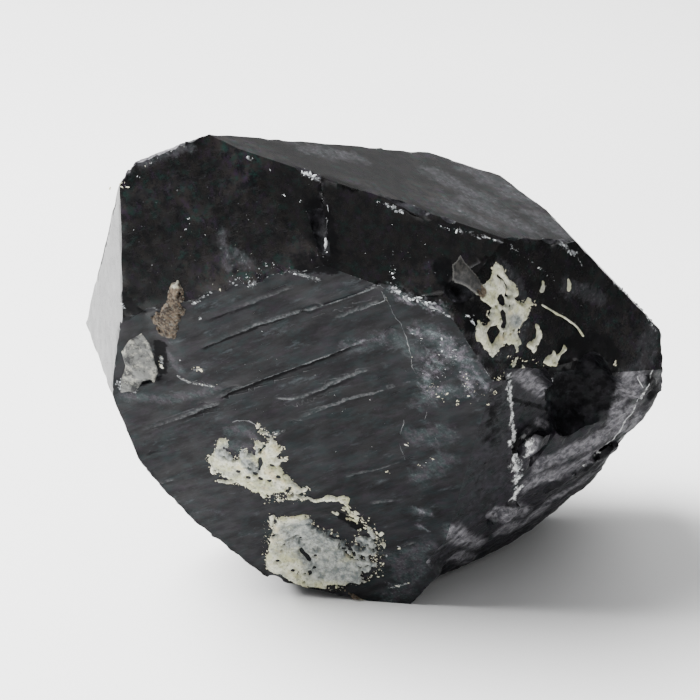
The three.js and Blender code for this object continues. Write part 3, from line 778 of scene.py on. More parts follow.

# %% [markdown]
# ## Ledges
# A ledge of the front side is a line of (along, up, how white its lip is, how dark its foot's painted shadow
# is) places. A point above the line takes the lip's strength from it, and a point below it the shadow's.

# %% Ledge lines
LEDGES = [
    [(-9.2, 24.3, 0, 0.9), (-5.7, 24.7, 0.1, 0.9), (-2.3, 25.1, 0.2, 0.9), (1.1, 25.4, 0.5, 0.8),
     (4.2, 25.4, 0.6, 0.8), (7.4, 25.6, 0.6, 0.8), (8.9, 25.5, 0.6, 0.7), (10, 24.8, 0.6, 0.6),
     (13, 24.8, 0.6, 0.3), (16.1, 24.9, 0.7, 0.1), (19.2, 25, 0.8, 0), (21.8, 25.3, 0.9, 0)],
    [(-28, 11.7, 0, 0.2), (-24.7, 11.7, 0.2, 0.3), (-21.3, 11.8, 0.3, 0.3), (-17.7, 12.1, 0.5, 0.8),
     (-14.2, 12.4, 0.5, 0.9), (-12.7, 12.6, 0.5, 0.9)],
    [(-12, 13.9, 0.3, 0.9), (-8.7, 14.1, 0.5, 0.9), (-5.3, 14.5, 0.7, 0.9), (-1.9, 14.8, 0.8, 0.9),
     (1.4, 15, 0.8, 0.9), (4.7, 15.2, 0.9, 0.9), (8, 15.5, 0.9, 0.9), (11.3, 15.9, 0.8, 0.8),
     (14.5, 16, 0.6, 0.4), (16.1, 16.1, 0.5, 0.2)],
    [(-3.7, 10.6, 0.7, 0), (-2.5, 9.8, 0.8, 0.1), (-1.2, 9.3, 0.8, 0.2), (0.4, 9.3, 0.5, 0.3),
     (2.1, 9.6, 0.5, 0.6), (3.9, 9.8, 0.6, 0.7), (5.8, 10.3, 0.6, 0.7), (9.2, 10.8, 0.6, 0.6),
     (12.5, 11.1, 0.4, 0.1), (13.2, 11.2, 0.4, 0)],
    [(-1.9, 6, 0.2, 0), (1.4, 6.2, 0.4, 0.2), (4.7, 6.5, 0.5, 0.4), (8, 6.7, 0.5, 0.4),
     (11.1, 6.6, 0.4, 0.3), (14.2, 6.7, 0.4, 0.2), (15.8, 6.7, 0.3, 0)],
    [(-6.3, 29.1, 0, 0.3), (-3.1, 29.2, 0, 0.8), (0.2, 29.4, 0.1, 0.7), (3.5, 29.5, 0.2, 0.6),
     (6.7, 29.8, 0.3, 0.3), (10, 30.1, 0.2, 0), (10.7, 30.2, 0.2, 0)],
    [(13.2, 22, 0.3, 0), (16.5, 22.3, 0.5, 0), (19.6, 22.5, 0.6, 0), (21, 22.6, 0.5, 0)],
    [(-30, 7.3, 0, 0.7), (-26.5, 7.4, 0, 0.6), (-23, 7.6, 0, 0.2), (-22, 7.7, 0, 0.1)],
    [(-31, 0.6, 0.5, 0), (-28.2, 0.5, 0.4, 0)],
    [(-1.8, -8.2, 0.3, 0), (1.5, -8.2, 0.4, 0), (2.8, -8.6, 0.4, 0), (4.4, -8.6, 0.3, 0.1),
     (7.7, -8.4, 0.4, 0), (8.3, -8.3, 0.4, 0)],
    [(-0.5, -14.9, 0.4, 0), (2.5, -15.3, 0.4, 0.1), (3.2, -15.4, 0.4, 0.1)],
    [(-0.8, -25.6, 0.5, 0), (1.9, -25.4, 0.3, 0)],
]
LEDGE_REACH = 3.0
OFF_PLANE = 2.2  # no ledge lies further than this from the front side's plane
LEVEL = 0.6  # the cosine to the front side of the steepest skin that takes a ledge's marks


def above_ledge(points):
    """How far above the nearest ledge line a point lies, and how strong the line's lip and the painted
    shadow at its foot are there: both are read off the line at the point's place along the front side."""
    along, up, out = (to_crystal(points) @ face_axes("sideFront").T).T
    facing = point_normals(points, triangles) @ TO_PART @ face_axes("sideFront")[2]
    near = (np.abs(out - FACES["sideFront"][2]) < OFF_PLANE) & (facing > LEVEL)
    height, lip, foot = np.full(len(points), LEDGE_REACH), np.zeros(len(points)), np.zeros(len(points))
    for line in LEDGES:
        at, level, light, dark = np.array(line).T
        above = up - np.interp(along, at, level)
        share = near * smoothstep(along, at[0] - 0.4, at[0] + 1)
        share = share * smoothstep(-along, -at[-1] - 0.4, 1 - at[-1])
        share *= smoothstep(-np.abs(above), -1.3, -0.8)
        nearer = np.abs(above) < np.abs(height)
        height = np.where(nearer, above, height)
        lip = np.where(nearer, share * np.interp(along, at, light), lip)
        foot = np.where(nearer, share * np.interp(along, at, dark), foot)
    return height, lip, foot


ledge, lip, foot = above_ledge(skin_points)
print("points by a ledge:", (np.abs(ledge) < LEDGE_REACH).sum())

# %% [markdown]
# ## The crystal piece
# The mesh is shaded smooth within a flat and sharp across its edges. The distances ride along as
# attributes, so a finish can draw lines much thinner than the triangles are wide.

# %% The crystal


def new_mesh(name, places, faces, finishes, kinds=None):
    """A mesh object of places in millimetres and triangles or quads, smooth, with its finishes."""
    mesh = bpy.data.meshes.new(name)
    mesh.from_pydata(places * MM, [], faces)
    mesh.shade_smooth()
    for finish in finishes:
        mesh.materials.append(finish)
    if kinds is not None:
        mesh.polygons.foreach_set("material_index", kinds.astype(np.int32))
    piece = bpy.data.objects.new(name, mesh)
    bpy.context.scene.collection.objects.link(piece)
    return piece


def give(piece, name, values):
    """Stores one number per point on a piece, under a name that a finish can read."""
    piece.data.attributes.new(name, "FLOAT", "POINT").data.foreach_set("value", values.astype(np.float32))


def sharpen(piece, pairs):
    """Marks the edges between pairs of points as sharp."""
    ends = np.empty(len(piece.data.edges) * 2, np.int32)
    piece.data.edges.foreach_get("vertices", ends)
    key = np.sort(ends.reshape(-1, 2), 1) @ [len(points), 1]
    sharp = np.isin(key, np.sort(pairs, 1) @ [len(points), 1])
    piece.data.attributes.new("sharp_edge", "BOOLEAN", "EDGE").data.foreach_set("value", sharp)


# %% [markdown]
# ## Finishes as sums
# A finish is worked out with sums of noise, distances and masks. Written as nodes by hand that would be
# hundreds of lines, so a small class wraps a node's output and turns ordinary sums into nodes.

# %% Wires


class Wire:
    """A node's output. Sums with it, in either order, add the nodes that work them out. The names most
    and least stand for the greater and the lesser of two."""

    def __init__(self, finish, socket):
        self.finish, self.socket = finish, socket

    def sum(self, operation, *others):
        values = dict(enumerate((self, *others)))
        return self.finish.add("ShaderNodeMath", {"operation": operation}, values)

    def __add__(self, other):
        return self.sum("ADD", other)

    def __sub__(self, other):
        return self.sum("SUBTRACT", other)

    def __rsub__(self, other):
        return self.finish.add("ShaderNodeMath", {"operation": "SUBTRACT"}, {0: other, 1: self})

    def __mul__(self, other):
        return self.sum("MULTIPLY", other)

    def most(self, other):
        return self.sum("MAXIMUM", other)

    def least(self, other):
        return self.sum("MINIMUM", other)

    def tripled(self):
        """A colour three times as light."""
        return self.finish.add("ShaderNodeVectorMath", {"operation": "SCALE"}, {0: self, "Scale": 3.0})

    def rise(self, low, high):
        """0 below low, 1 above high, smooth between; falls instead if low is the greater."""
        names = ("From Min", "From Max", "To Min", "To Max")
        values = (low, high, 0, 1) if low < high else (high, low, 1, 0)
        settings = {"interpolation_type": "SMOOTHSTEP", "clamp": True}
        return self.finish.add("ShaderNodeMapRange", settings, {"Value": self, **dict(zip(names, values))})

    __radd__, __rmul__ = __add__, __mul__


# %% Finishes


class Finish:
    """A material made in code, with the crystal's own axes in millimetres as its pattern space."""

    def __init__(self, name):
        self.material = bpy.data.materials.new(name)
        self.material.use_nodes = True
        self.nodes = self.material.node_tree.nodes
        self.nodes.clear()
        self.place = self.add("ShaderNodeTexCoord", output="Object")
        centred = self.add("ShaderNodeVectorMath", {"operation": "SUBTRACT"},
                           {0: self.place, 1: tuple(CENTRE * MM)})
        lean = tuple(Matrix(TO_PART.T).to_euler())
        self.place = self.add("ShaderNodeMapping", {"vector_type": "POINT"},
                              {"Vector": centred, "Rotation": lean})
        self.place = self.add("ShaderNodeVectorMath", {"operation": "SCALE"},
                              {0: self.place, "Scale": 1 / MM})

    def add(self, kind, settings=None, values=None, output=0):
        """Adds a node: its settings first, then its sockets' values or wires. Gives its output."""
        node = self.nodes.new(kind)
        for name, value in (settings or {}).items():
            setattr(node, name, value)
        for name, value in (values or {}).items():
            socket = node.inputs[name]
            if isinstance(value, Wire):
                self.material.node_tree.links.new(value.socket, socket)
            else:
                wide = hasattr(socket.default_value, "__len__") and len(socket.default_value) == 4
                socket.default_value = (*value, 1) if wide else value
        return Wire(self, node.outputs[output] if node.outputs else None)

    def noise(self, size, detail=3, rough=0.55):
        """Noise from about 0.3 to 0.7 whose lumps are size millimetres wide, or that size per axis."""
        place = self.place
        if isinstance(size, tuple):
            place = self.add("ShaderNodeVectorMath", {"operation": "DIVIDE"}, {0: place, 1: size})
            size = 1
        values = {"Vector": place, "Scale": 1 / size, "Detail": detail, "Roughness": rough}
        return self.add("ShaderNodeTexNoise", None, values)

    def cells(self, size):
        """The distance from the nearest of scattered points that lie about size millimetres apart."""
        return self.add("ShaderNodeTexVoronoi", None, {"Vector": self.place, "Scale": 1 / size})

    def read(self, name):
        """A number that the mesh carries at each point."""
        return self.add("ShaderNodeAttribute", {"attribute_name": name}, output="Fac")

    def blend(self, mask, low, high):
        """From one colour to another as the mask goes from 0 to 1."""
        return self.add("ShaderNodeMix", {"data_type": "RGBA"}, {0: mask, 6: low, 7: high}, 2)

    def bump(self, height, depth):
        """A direction for the light, turned by a height from 0 to 1 that is depth millimetres tall."""
        values = {"Height": height, "Distance": depth * MM, "Strength": 1}
        return self.add("ShaderNodeBump", None, values)

    def shine(self, values, dull_and_shaded=None, share=0):
        """Ends the finish in one shader with these values, or a share of another one's, and gives the
        material."""
        shader = self.add("ShaderNodeBsdfPrincipled", None, values)
        if dull_and_shaded:
            other = self.add("ShaderNodeBsdfPrincipled", None, {**values, **dull_and_shaded})
            shader = self.add("ShaderNodeMixShader", None, {0: share, 1: shader, 2: other})
        self.add("ShaderNodeOutputMaterial", None, {"Surface": shader})
        return self.material


# %% [markdown]
# ## Marks that cross from face to face
# Bruised edges, crushed patches, films, shade and druse run on from one kind of face to the next. Each is
# one function that any of the three finishes can call, so the marks meet at a border. A mask is the
# stroke's own value with strong noise added to it, which frays its edge, and it is zero off the stroke.

# %% What all three finishes of the stone share
QUARTZ = {"IOR": 1.54}
# A nearly black shader that mirrors almost nothing, for painted shade: the shade strokes and the ledges' feet
# mix it in, and on the front side the etched patches take part of it too.
DULL_AND_SHADED = {"Base Color": (0.0022, 0.0022, 0.0026), "Specular IOR Level": 0.03, "Roughness": 0.6}


def edge_wear(finish, width, cover):
    """A mask for bruised edges: broken stretches along the sharp edges, up to width millimetres wide.
    The cover, from 0 to 1, is how much of their length is bruised."""
    reach = (finish.noise(2.0, 5, 0.75) - (0.66 - 0.26 * cover)).most(0) * (width * 10)
    line = (finish.read("worn") - reach).rise(0.0, -0.08)
    return line * finish.noise(0.7, 4, 0.75).rise(0.36, 0.58)


def crushing(finish):
    """A mask for patches of crushed white stone round the flecks, with frayed edges."""
    patch = finish.read("crushed") * 1.5 + (finish.noise(0.75, 5, 0.75) - 0.5) * 3.0
    return patch.rise(0.8, 1.6)


def whitened(finish, hue, white, grain, dark, light):
    """A colour with crushed stone over it, grainy from dark to light, wherever the white mask lies."""
    return finish.blend(white * 0.8, hue, finish.blend(grain, dark, light))


def paled(finish, hue, cool, warm):
    """A colour under a frayed, cloudy film of two mottled tones wherever the pale strokes lie."""
    pale = finish.read("pale")
    cloud = pale * 1.7 + (finish.noise(2.2, 7, 0.72) - 0.5) * 3.6
    thin = 0.3 + finish.noise((1.1, 0.75, 0.75), 6, 0.76).rise(0.38, 0.62) * 0.7
    film = cloud.rise(0.4, 1.5) * pale.rise(0.02, 0.25) * thin
    tones = finish.blend(finish.noise(1.7, 3, 0.7).rise(0.42, 0.58), cool, warm)
    hue = finish.blend(film * 0.8, hue, tones)
    return finish.blend(film * finish.noise(0.45, 4, 0.75).rise(0.56, 0.68) * 0.7, hue, (0.105, 0.112, 0.115))


def shaded(finish, size):
    """A mask for the painted shade strokes, with borders frayed by noise."""
    shade = finish.read("shade")
    frayed = shade * 2.1 + (finish.noise(size, 6, 0.74) - 0.5) * 3.4
    return frayed.rise(0.35, 1.05) * shade.rise(0.02, 0.2)


def frosted(finish):
    """A frayed mask from the frost strokes, and the druse's colours: teal white to lavender grey, and white
    spots that are painted highlights of its tiny crystals.
    """
    frost = finish.read("frost")
    frayed = frost * 1.25 + (finish.noise(1.7, 7, 0.76) - 0.5) * 4.6
    thin = 0.35 + finish.noise(0.7, 5, 0.76).rise(0.4, 0.6) * 0.65
    mask = frayed.rise(0.5, 1.7) * frost.rise(0.02, 0.22) * thin
    hue = finish.blend(finish.noise(1.4, 4, 0.7).rise(0.42, 0.58), (0.080, 0.106, 0.108),
                       (0.118, 0.106, 0.126))
    # painted highlights: white spots where the druse's tiny crystals would catch the light
    return mask, finish.blend(finish.noise(0.5, 4, 0.75).rise(0.54, 0.72) * 0.8, hue, (0.34, 0.36, 0.36))


# %% [markdown]
# ## Glassy faces
# Morion is so dark that hardly any light comes back out of it, so its face is almost black and what
# shows is the room mirrored in it. What breaks that mirror is fine: a breath of green and violet where
# the stone thins, veils of tiny cracks, a dusty bloom, and pale bruises where an edge is chipped.

# %% The glassy finish


def glass_finish():
    """Black stone with a breath of green and violet, under veils, specks, films, druse and bruises."""
    f = Finish("morion glassy face")
    hue = f.blend(f.noise(1.7, 5, 0.7).rise(0.38, 0.62), (0.0008, 0.0008, 0.0011), (0.0040, 0.0034, 0.0032))
    hue = f.blend(f.noise((1.3, 1.9, 1.5), 5, 0.7).rise(0.5, 0.68) * 0.8, hue, (0.0016, 0.0058, 0.0048))
    hue = f.blend(f.noise((2.0, 1.4, 1.8), 4, 0.7).rise(0.52, 0.7) * 0.7, hue, (0.0058, 0.0032, 0.0070))
    veil = f.noise((0.8, 2.2, 0.6), 5, 0.75).rise(0.5, 0.78)
    hue = f.blend(f.noise((9, 12, 14), 3, 0.5).rise(0.46, 0.62), hue, hue.tripled())
    hue = f.blend(veil * 0.4, hue, (0.010, 0.010, 0.012))
    hue = paled(f, hue, (0.026, 0.029, 0.031), (0.038, 0.036, 0.042))
    speck = f.cells(0.9).rise(0.1, 0.04) * f.noise(2.1, 3).rise(0.54, 0.64)
    hue = f.blend(speck * 0.35, hue, (0.16, 0.17, 0.19))
    druse, crystals = frosted(f)
    hue = f.blend(druse, hue, crystals)
    white = edge_wear(f, 0.14, 0.25).most(crushing(f))
    grain = f.noise(0.5, 4, 0.7).rise(0.4, 0.66)
    hue = whitened(f, hue, white, grain, (0.05, 0.052, 0.057), (0.30, 0.31, 0.32))
    rough = 0.16 + f.noise(2.6, 4, 0.6) * 0.2 + veil * 0.1 + white * 0.3
    relief = f.noise(0.42, 3) * 0.6 + f.noise((4, 3, 0.5), 2) * 0.4 + white * 2
    # painted shade in the cracks and recesses, where the dull shader is mixed in
    dark = shaded(f, 3.2) * (1 - white)
    looks = {**QUARTZ, "Base Color": hue, "Roughness": rough, "Specular IOR Level": 0.145,
             "Normal": f.bump(relief, 0.016)}
    return f.shine(looks, DULL_AND_SHADED, dark * (0.66 + f.noise(2.2, 5, 0.7).rise(0.56, 0.42) * 0.3))


glass = glass_finish()
print("nodes in the glassy finish:", len(glass.node_tree.nodes))

# %% [markdown]
# ## The satin front side
# The broad side carries fine growth lines across the crystal, which break its mirror into a satin. It is
# etched in patches, and an etched patch mirrors less, so two shaders are mixed by a streaky mask. The same
# mix paints shade: the feet of the ledges are in deep shadow, painted as a dark line, and so are the shade
# strokes. Druse and crushed stone cloud its right end.

# %% The satin finish


def front_finish():
    """Streaks, scratches and smears along the growth lines, then films, druse, bruises, ledges and painted
    shade.
    """
    f = Finish("morion satin side")
    f.place = f.add("ShaderNodeMapping", {"vector_type": "POINT"},
                    {"Vector": f.place, "Rotation": (np.radians(-5), 0, 0)})
    hue = f.blend(f.noise((15, 8, 2.3), 5, 0.68).rise(0.36, 0.66), (0.0012, 0.0012, 0.0018),
                  (0.0080, 0.0080, 0.0100))
    hue = f.blend(f.noise((3, 3.6, 1.8), 5, 0.72).rise(0.46, 0.66) * 0.75, hue, (0.0040, 0.0102, 0.0112))
    hue = f.blend(f.noise((2.6, 3, 1.5), 5, 0.72).rise(0.5, 0.68) * 0.65, hue, (0.0112, 0.0066, 0.0120))
    scratch = f.noise((8, 3.8, 0.18), 3, 0.7).rise(0.62, 0.82)
    hue = f.blend(scratch * 0.3, hue, (0.07, 0.08, 0.09))
    smear = f.noise((8, 5, 1.5), 6, 0.78).rise(0.55, 0.74)
    hue = f.blend(smear * 0.65, hue, (0.045, 0.056, 0.062))
    hue = paled(f, hue, (0.030, 0.044, 0.045), (0.046, 0.040, 0.049))
    druse, crystals = frosted(f)
    hue = f.blend((druse * 1.2).least(1), hue, crystals)
    white = edge_wear(f, 0.15, 0.6).most(crushing(f))
    grain = f.noise(0.5, 4, 0.7).rise(0.4, 0.66)
    hue = whitened(f, hue, white, grain, (0.05, 0.055, 0.06), (0.30, 0.31, 0.31))
    above = f.read("ledge") + (f.noise((1, 2.6, 1.4), 4, 0.65) - 0.5) * 0.9
    lip = above.rise(-0.06, 0.05) * above.rise(0.85, 0.1) * (f.read("lip") * 1.35)
    lip = lip * f.noise((1, 1.6, 0.7), 5, 0.72).rise(0.34, 0.56)
    lip_grain = f.noise(0.6, 4, 0.7).rise(0.42, 0.62)
    hue = f.blend(lip, hue, f.blend(lip_grain, (0.052, 0.060, 0.062), (0.140, 0.140, 0.144)))
    rough = 0.3 + f.noise(1.8, 4, 0.6) * 0.22 + white * 0.2 + druse * 0.15
    lines = f.noise((30, 9, 0.4), 3, 0.6) * 0.6 + f.noise(0.3, 2) * 0.4
    relief = lines + white * 1.5 + druse * f.noise(0.3, 3) * 2
    # painted shadow: a dark line under each ledge's lip, where the riser faces down and lies in shade
    foot = above.rise(0.06, -0.08) * above.rise(-0.85, -0.32) * (f.read("foot") * 1.2).least(1)
    foot = foot * (0.5 + f.noise((1, 2.4, 1), 4, 0.7).rise(0.34, 0.5) * 0.5)
    dark = (foot * (1 - druse)).most(shaded(f, 1.3)) * (1 - white)
    # the etched patches mirror less, and the painted shade from the feet and the strokes takes the same dull
    # shader, nearly black
    etched_and_shaded = (f.noise((11, 6, 2.0), 5, 0.7).rise(0.36, 0.64) * 0.45).most(dark * 0.93)
    dim = f.blend(dark, f.blend(0.3, hue, (0.002, 0.002, 0.003)), (0.0012, 0.0012, 0.0016))
    looks = {**QUARTZ, "Base Color": hue, "Roughness": rough, "Specular IOR Level": 0.12,
             "Normal": f.bump(relief, 0.03)}
    return f.shine(looks, {**DULL_AND_SHADED, "Base Color": dim}, etched_and_shaded)


front = front_finish()
print("nodes in the satin finish:", len(front.node_tree.nodes))

# %% [markdown]
# ## Broken quartz
# A broken place scatters the light. It is a cool lavender grey, darker where the break is clean and
# glassy, and whiter where the stone is crushed.

# %% The broken finish


def broken_finish():
    """Rubble from dark to grey with green and violet lumps and painted glints, then films, grains, druse,
    bruises and painted shade.
    """
    f = Finish("morion broken quartz")
    rubble = f.noise(2.0, 5, 0.72)
    hue = f.blend(rubble.rise(0.32, 0.72), (0.0030, 0.0030, 0.0038), (0.020, 0.0188, 0.0235))
    hue = f.blend(f.noise((2.4, 3, 2), 5, 0.7).rise(0.48, 0.66) * 0.7, hue, (0.007, 0.0125, 0.0120))
    hue = f.blend(f.noise((2, 2.2, 3), 5, 0.72).rise(0.52, 0.68) * 0.6, hue, (0.019, 0.013, 0.020))
    film = (f.read("pale") * 1.8 + (f.noise(2.2, 6, 0.66) - 0.5) * 2.0).rise(0.25, 1.35)
    lavender = f.blend(f.noise((1.6, 1.1, 1.1), 6, 0.72).rise(0.34, 0.66), (0.034, 0.033, 0.039),
                       (0.190, 0.184, 0.197))
    film = film * (1 - f.noise(1.5, 5, 0.62).rise(0.53, 0.6) * 0.6)
    hue = f.blend(film, hue, lavender)
    hue = f.blend(f.noise((0.5, 6, 0.5), 4, 0.75).rise(0.5, 0.66) * film * 0.5, hue, (0.022, 0.021, 0.025))
    # painted glints: bright grains on the rubble where a broken face would catch the light
    painted_glints = f.noise(0.5, 4, 0.75).rise(0.58, 0.76) * rubble.rise(0.45, 0.62)
    hue = f.blend(painted_glints * 0.4, hue, (0.11, 0.115, 0.125))
    druse, crystals = frosted(f)
    hue = f.blend((druse * 3).least(1), hue, f.blend(0.85, crystals, (0.74, 0.75, 0.74)))
    white = edge_wear(f, 0.14, 0.4).most(crushing(f))
    grain = f.noise(0.5, 3, 0.7).rise(0.4, 0.62)
    hue = whitened(f, hue, white, grain, (0.10, 0.105, 0.115), (0.50, 0.51, 0.52))
    rough = 0.24 + rubble.rise(0.3, 0.6) * 0.3 + white * 0.1
    relief = f.noise(0.9, 5, 0.7) * 0.8 + f.cells(1.3) * 0.2
    # painted shade in the hollow and the recesses, where the dull shader is mixed in
    dark = shaded(f, 1.8) * (1 - white)
    looks = {**QUARTZ, "Base Color": hue, "Roughness": rough, "Specular IOR Level": 0.10,
             "Normal": f.bump(relief, 0.14)}
    return f.shine(looks, DULL_AND_SHADED, dark * (0.6 + f.noise(1.7, 5, 0.7).rise(0.56, 0.42) * 0.36))


broken = broken_finish()
print("nodes in the broken finish:", len(broken.node_tree.nodes))

# %% The crystal with its finishes
SPLIT = 24  # degrees: the mesh is shaded sharp over a sharper edge than this
crystal = new_mesh("crystal", skin_points, triangles, (glass, front, broken), np.minimum(kind_of, BROKEN))
for name, values in {"worn": worn, "frost": frost, "pale": pale, "shade": shade, "crushed": crushed,
                     "ledge": ledge, "lip": lip, "foot": foot}.items():
    give(crystal, name, values)
sharpen(crystal, border_pieces[plain & (np.abs(angle) > SPLIT)])
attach(crystal, "root")
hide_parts("crystal_cluster")
print("crystal:", len(crystal.data.polygons), "triangles")

# %% [markdown]
# ## Crusts
# Pale clay and feldspar are caked on the sides, about half a millimetre thick, ragged and full of holes.
# A bump could only colour them. Each is a small shell instead: a fine grid is dropped on the skin, its
# top is raised inside the crust's outline by noise, and it dips under the skin outside.

# %% Sheets dropped on the skin
SUNK, UNDER = 0.3, 0.4  # how far below the skin a shell's edge and its underside lie
CELL, MARGIN = 0.13, 1.2  # a crust's grid and how far it goes on past the crust


def dropped(face, places):
    """How far above a face's plane the skin lies at [along, up] places. Blender's Shrinkwrap drops a
    loose sheet of points straight down on the skin, in the face's own axes. Where there is no skin
    under the sheet, half a millimetre below the plane is given."""
    start = 5  # the sheet starts this far above the plane
    no_skin = -0.5
    axes = face_axes(face)
    skin = new_mesh("skin under the crust", to_crystal(skin_points) @ axes.T / MM, triangles, [])
    sheet = new_mesh("sheet", in_space(places, FACES[face][2] + start) / MM, [], [])
    wrap = sheet.modifiers.new("drop", "SHRINKWRAP")
    wrap.target = skin
    wrap.wrap_method = "PROJECT"
    wrap.use_project_z = True
    wrap.use_negative_direction = True
    wrap.use_positive_direction = False
    depsgraph = bpy.context.evaluated_depsgraph_get()
    fallen = np.empty(len(places) * 3, np.float32)
    sheet.evaluated_get(depsgraph).data.vertices.foreach_get("co", fallen)
    for piece in (sheet, skin):
        bpy.data.meshes.remove(piece.data)
    height = fallen.reshape(-1, 3)[:, 2] - FACES[face][2]
    missed = height > start - 0.1
    return np.where(missed, no_skin, height)


def grid_round(marks, margin, cell):
    """A grid of places that reaches a margin past all the marks, and its rows and columns."""
    low, high = np.min(marks, 0) - margin, np.max(marks, 0) + margin
    x, y = np.meshgrid(np.arange(low[0], high[0], cell), np.arange(low[1], high[1], cell))
    return np.c_[x.ravel(), y.ravel()], x.shape


# %% How far inside an outline or a stroke


def depth_in(places, outline):
    """How far inside an outline each place lies, and below zero outside it."""
    ring = np.asarray(outline, float)
    sides = np.c_[np.arange(len(ring)), np.roll(np.arange(len(ring)), -1)]
    return np.where(within(places, ring, sides), 1, -1) * clearance(places, ring, sides)


def depth_on(places, radius, line):
    """How far inside a stroke each place lies: its radius less the distance from its line."""
    line = np.asarray(line, float)
    chain = np.c_[np.arange(len(line) - 1), np.arange(1, len(line))] if len(line) > 1 else np.array([[0, 0]])
    return radius - clearance(places, line, chain)


# %% A closed shell


def shell(face, places, shape, top, under, least=0.36):
    """A closed shell over a grid of places: the top where it is at least so far above the underside, the
    same cells underneath, and a skirt between them."""
    rows, columns = shape
    cell = (np.arange(rows - 1)[:, None] * columns + np.arange(columns - 1)).reshape(-1, 1)
    quads = cell + [0, 1, columns + 1, columns]
    quads = quads[(top[quads] > under[quads] + least).any(1)]
    used, local = np.unique(quads, return_inverse=True)
    local = local.reshape(-1, 4)
    sides = np.stack([local, np.roll(local, -1, 1)], 2).reshape(-1, 2)
    key, back = sides @ [len(used), 1], sides[:, ::-1] @ [len(used), 1]
    rim = sides[~np.isin(key, back)]
    skirt = np.c_[rim[:, 1], rim[:, 0], rim[:, 0] + len(used), rim[:, 1] + len(used)]
    height = np.r_[top[used], under[used]]
    both = np.vstack([places[used], places[used]])
    points = to_part(np.c_[both, FACES[face][2] + height] @ face_axes(face))
    return points, np.vstack([local, local[:, ::-1] + len(used), skirt])


# %% How thick a crust is


def crust(face, thick, fray, outlines, strokes=(), holes=(), gaps=(), gnawed=()):
    """A crust on a face. Its depth inside the outlines and strokes, less the holes, frayed by noise and
    eaten into where it is gnawed, sets how thick it is: quickly up to nearly thick, then uneven. A number
    added to the places reads the noise somewhere else."""
    edge = np.vstack([*outlines, *(line for _, line in strokes)])
    places, shape = grid_round(edge, MARGIN, CELL)
    depth = np.max([depth_in(places, o) for o in outlines] + [depth_on(places, *s) for s in strokes], 0)
    solid = in_space(places, 7.7 * len(outlines))
    depth = depth + fray * layered(solid, 1.5, 4) + 0.24 * layered(solid + 20, 0.6, 3)
    for radius, line in gnawed:
        share = np.clip(depth_on(places, radius, line) / radius * 2, 0, 1)
        depth = depth - share * 2.6 * smoothstep(layered(solid + 11, 1.3, 5), 0.0, 0.5)
    for outline in gaps:
        depth = np.minimum(depth, -depth_in(places, outline) + 0.1 * layered(solid, 0.7, 2))
    for radius, line in holes:
        depth = np.minimum(depth, -depth_on(places, radius, line) + 0.12 * layered(solid, 0.6, 2))
    pits = smoothstep(layered(solid + 40, 0.95, 3), 0.55, 0.8)
    rise = thick * (1 - np.exp(-np.maximum(depth, 0) / 0.22)) * (0.75 + 0.35 * layered(solid, 2.4, 3))
    rise += 0.13 * layered(solid + 5, 0.55, 3) * smoothstep(depth, 0, 0.2) - 0.75 * pits * thick
    rise = np.where(depth > 0, rise, np.maximum(depth, -SUNK))
    base = dropped(face, places)
    return face, places, shape, base + np.maximum(rise, -SUNK), base - UNDER


# %% Several parts in one piece


def gather(name, parts, finish):
    """Several (points, faces, values) parts in one piece that rides on the crystal."""
    count = np.cumsum([0] + [len(p[0]) for p in parts])
    faces = [[corner + start for corner in f] for (_, own, _), start in zip(parts, count) for f in own]
    piece = new_mesh(name, np.vstack([p[0] for p in parts]), faces, [finish])
    give(piece, "tint", np.concatenate([p[2] for p in parts]))
    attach(piece, "root")
    print(name, len(piece.data.polygons), "faces")
    return piece


# %% [markdown]
# ## Where the crusts are
# A crust is made of outlines and of strokes with a radius, less its gaps, which are outlines, and its
# holes, which are strokes. Along the gnawed strokes it is worn through in places. All of them are given in
# millimetres along and up the crust's face.

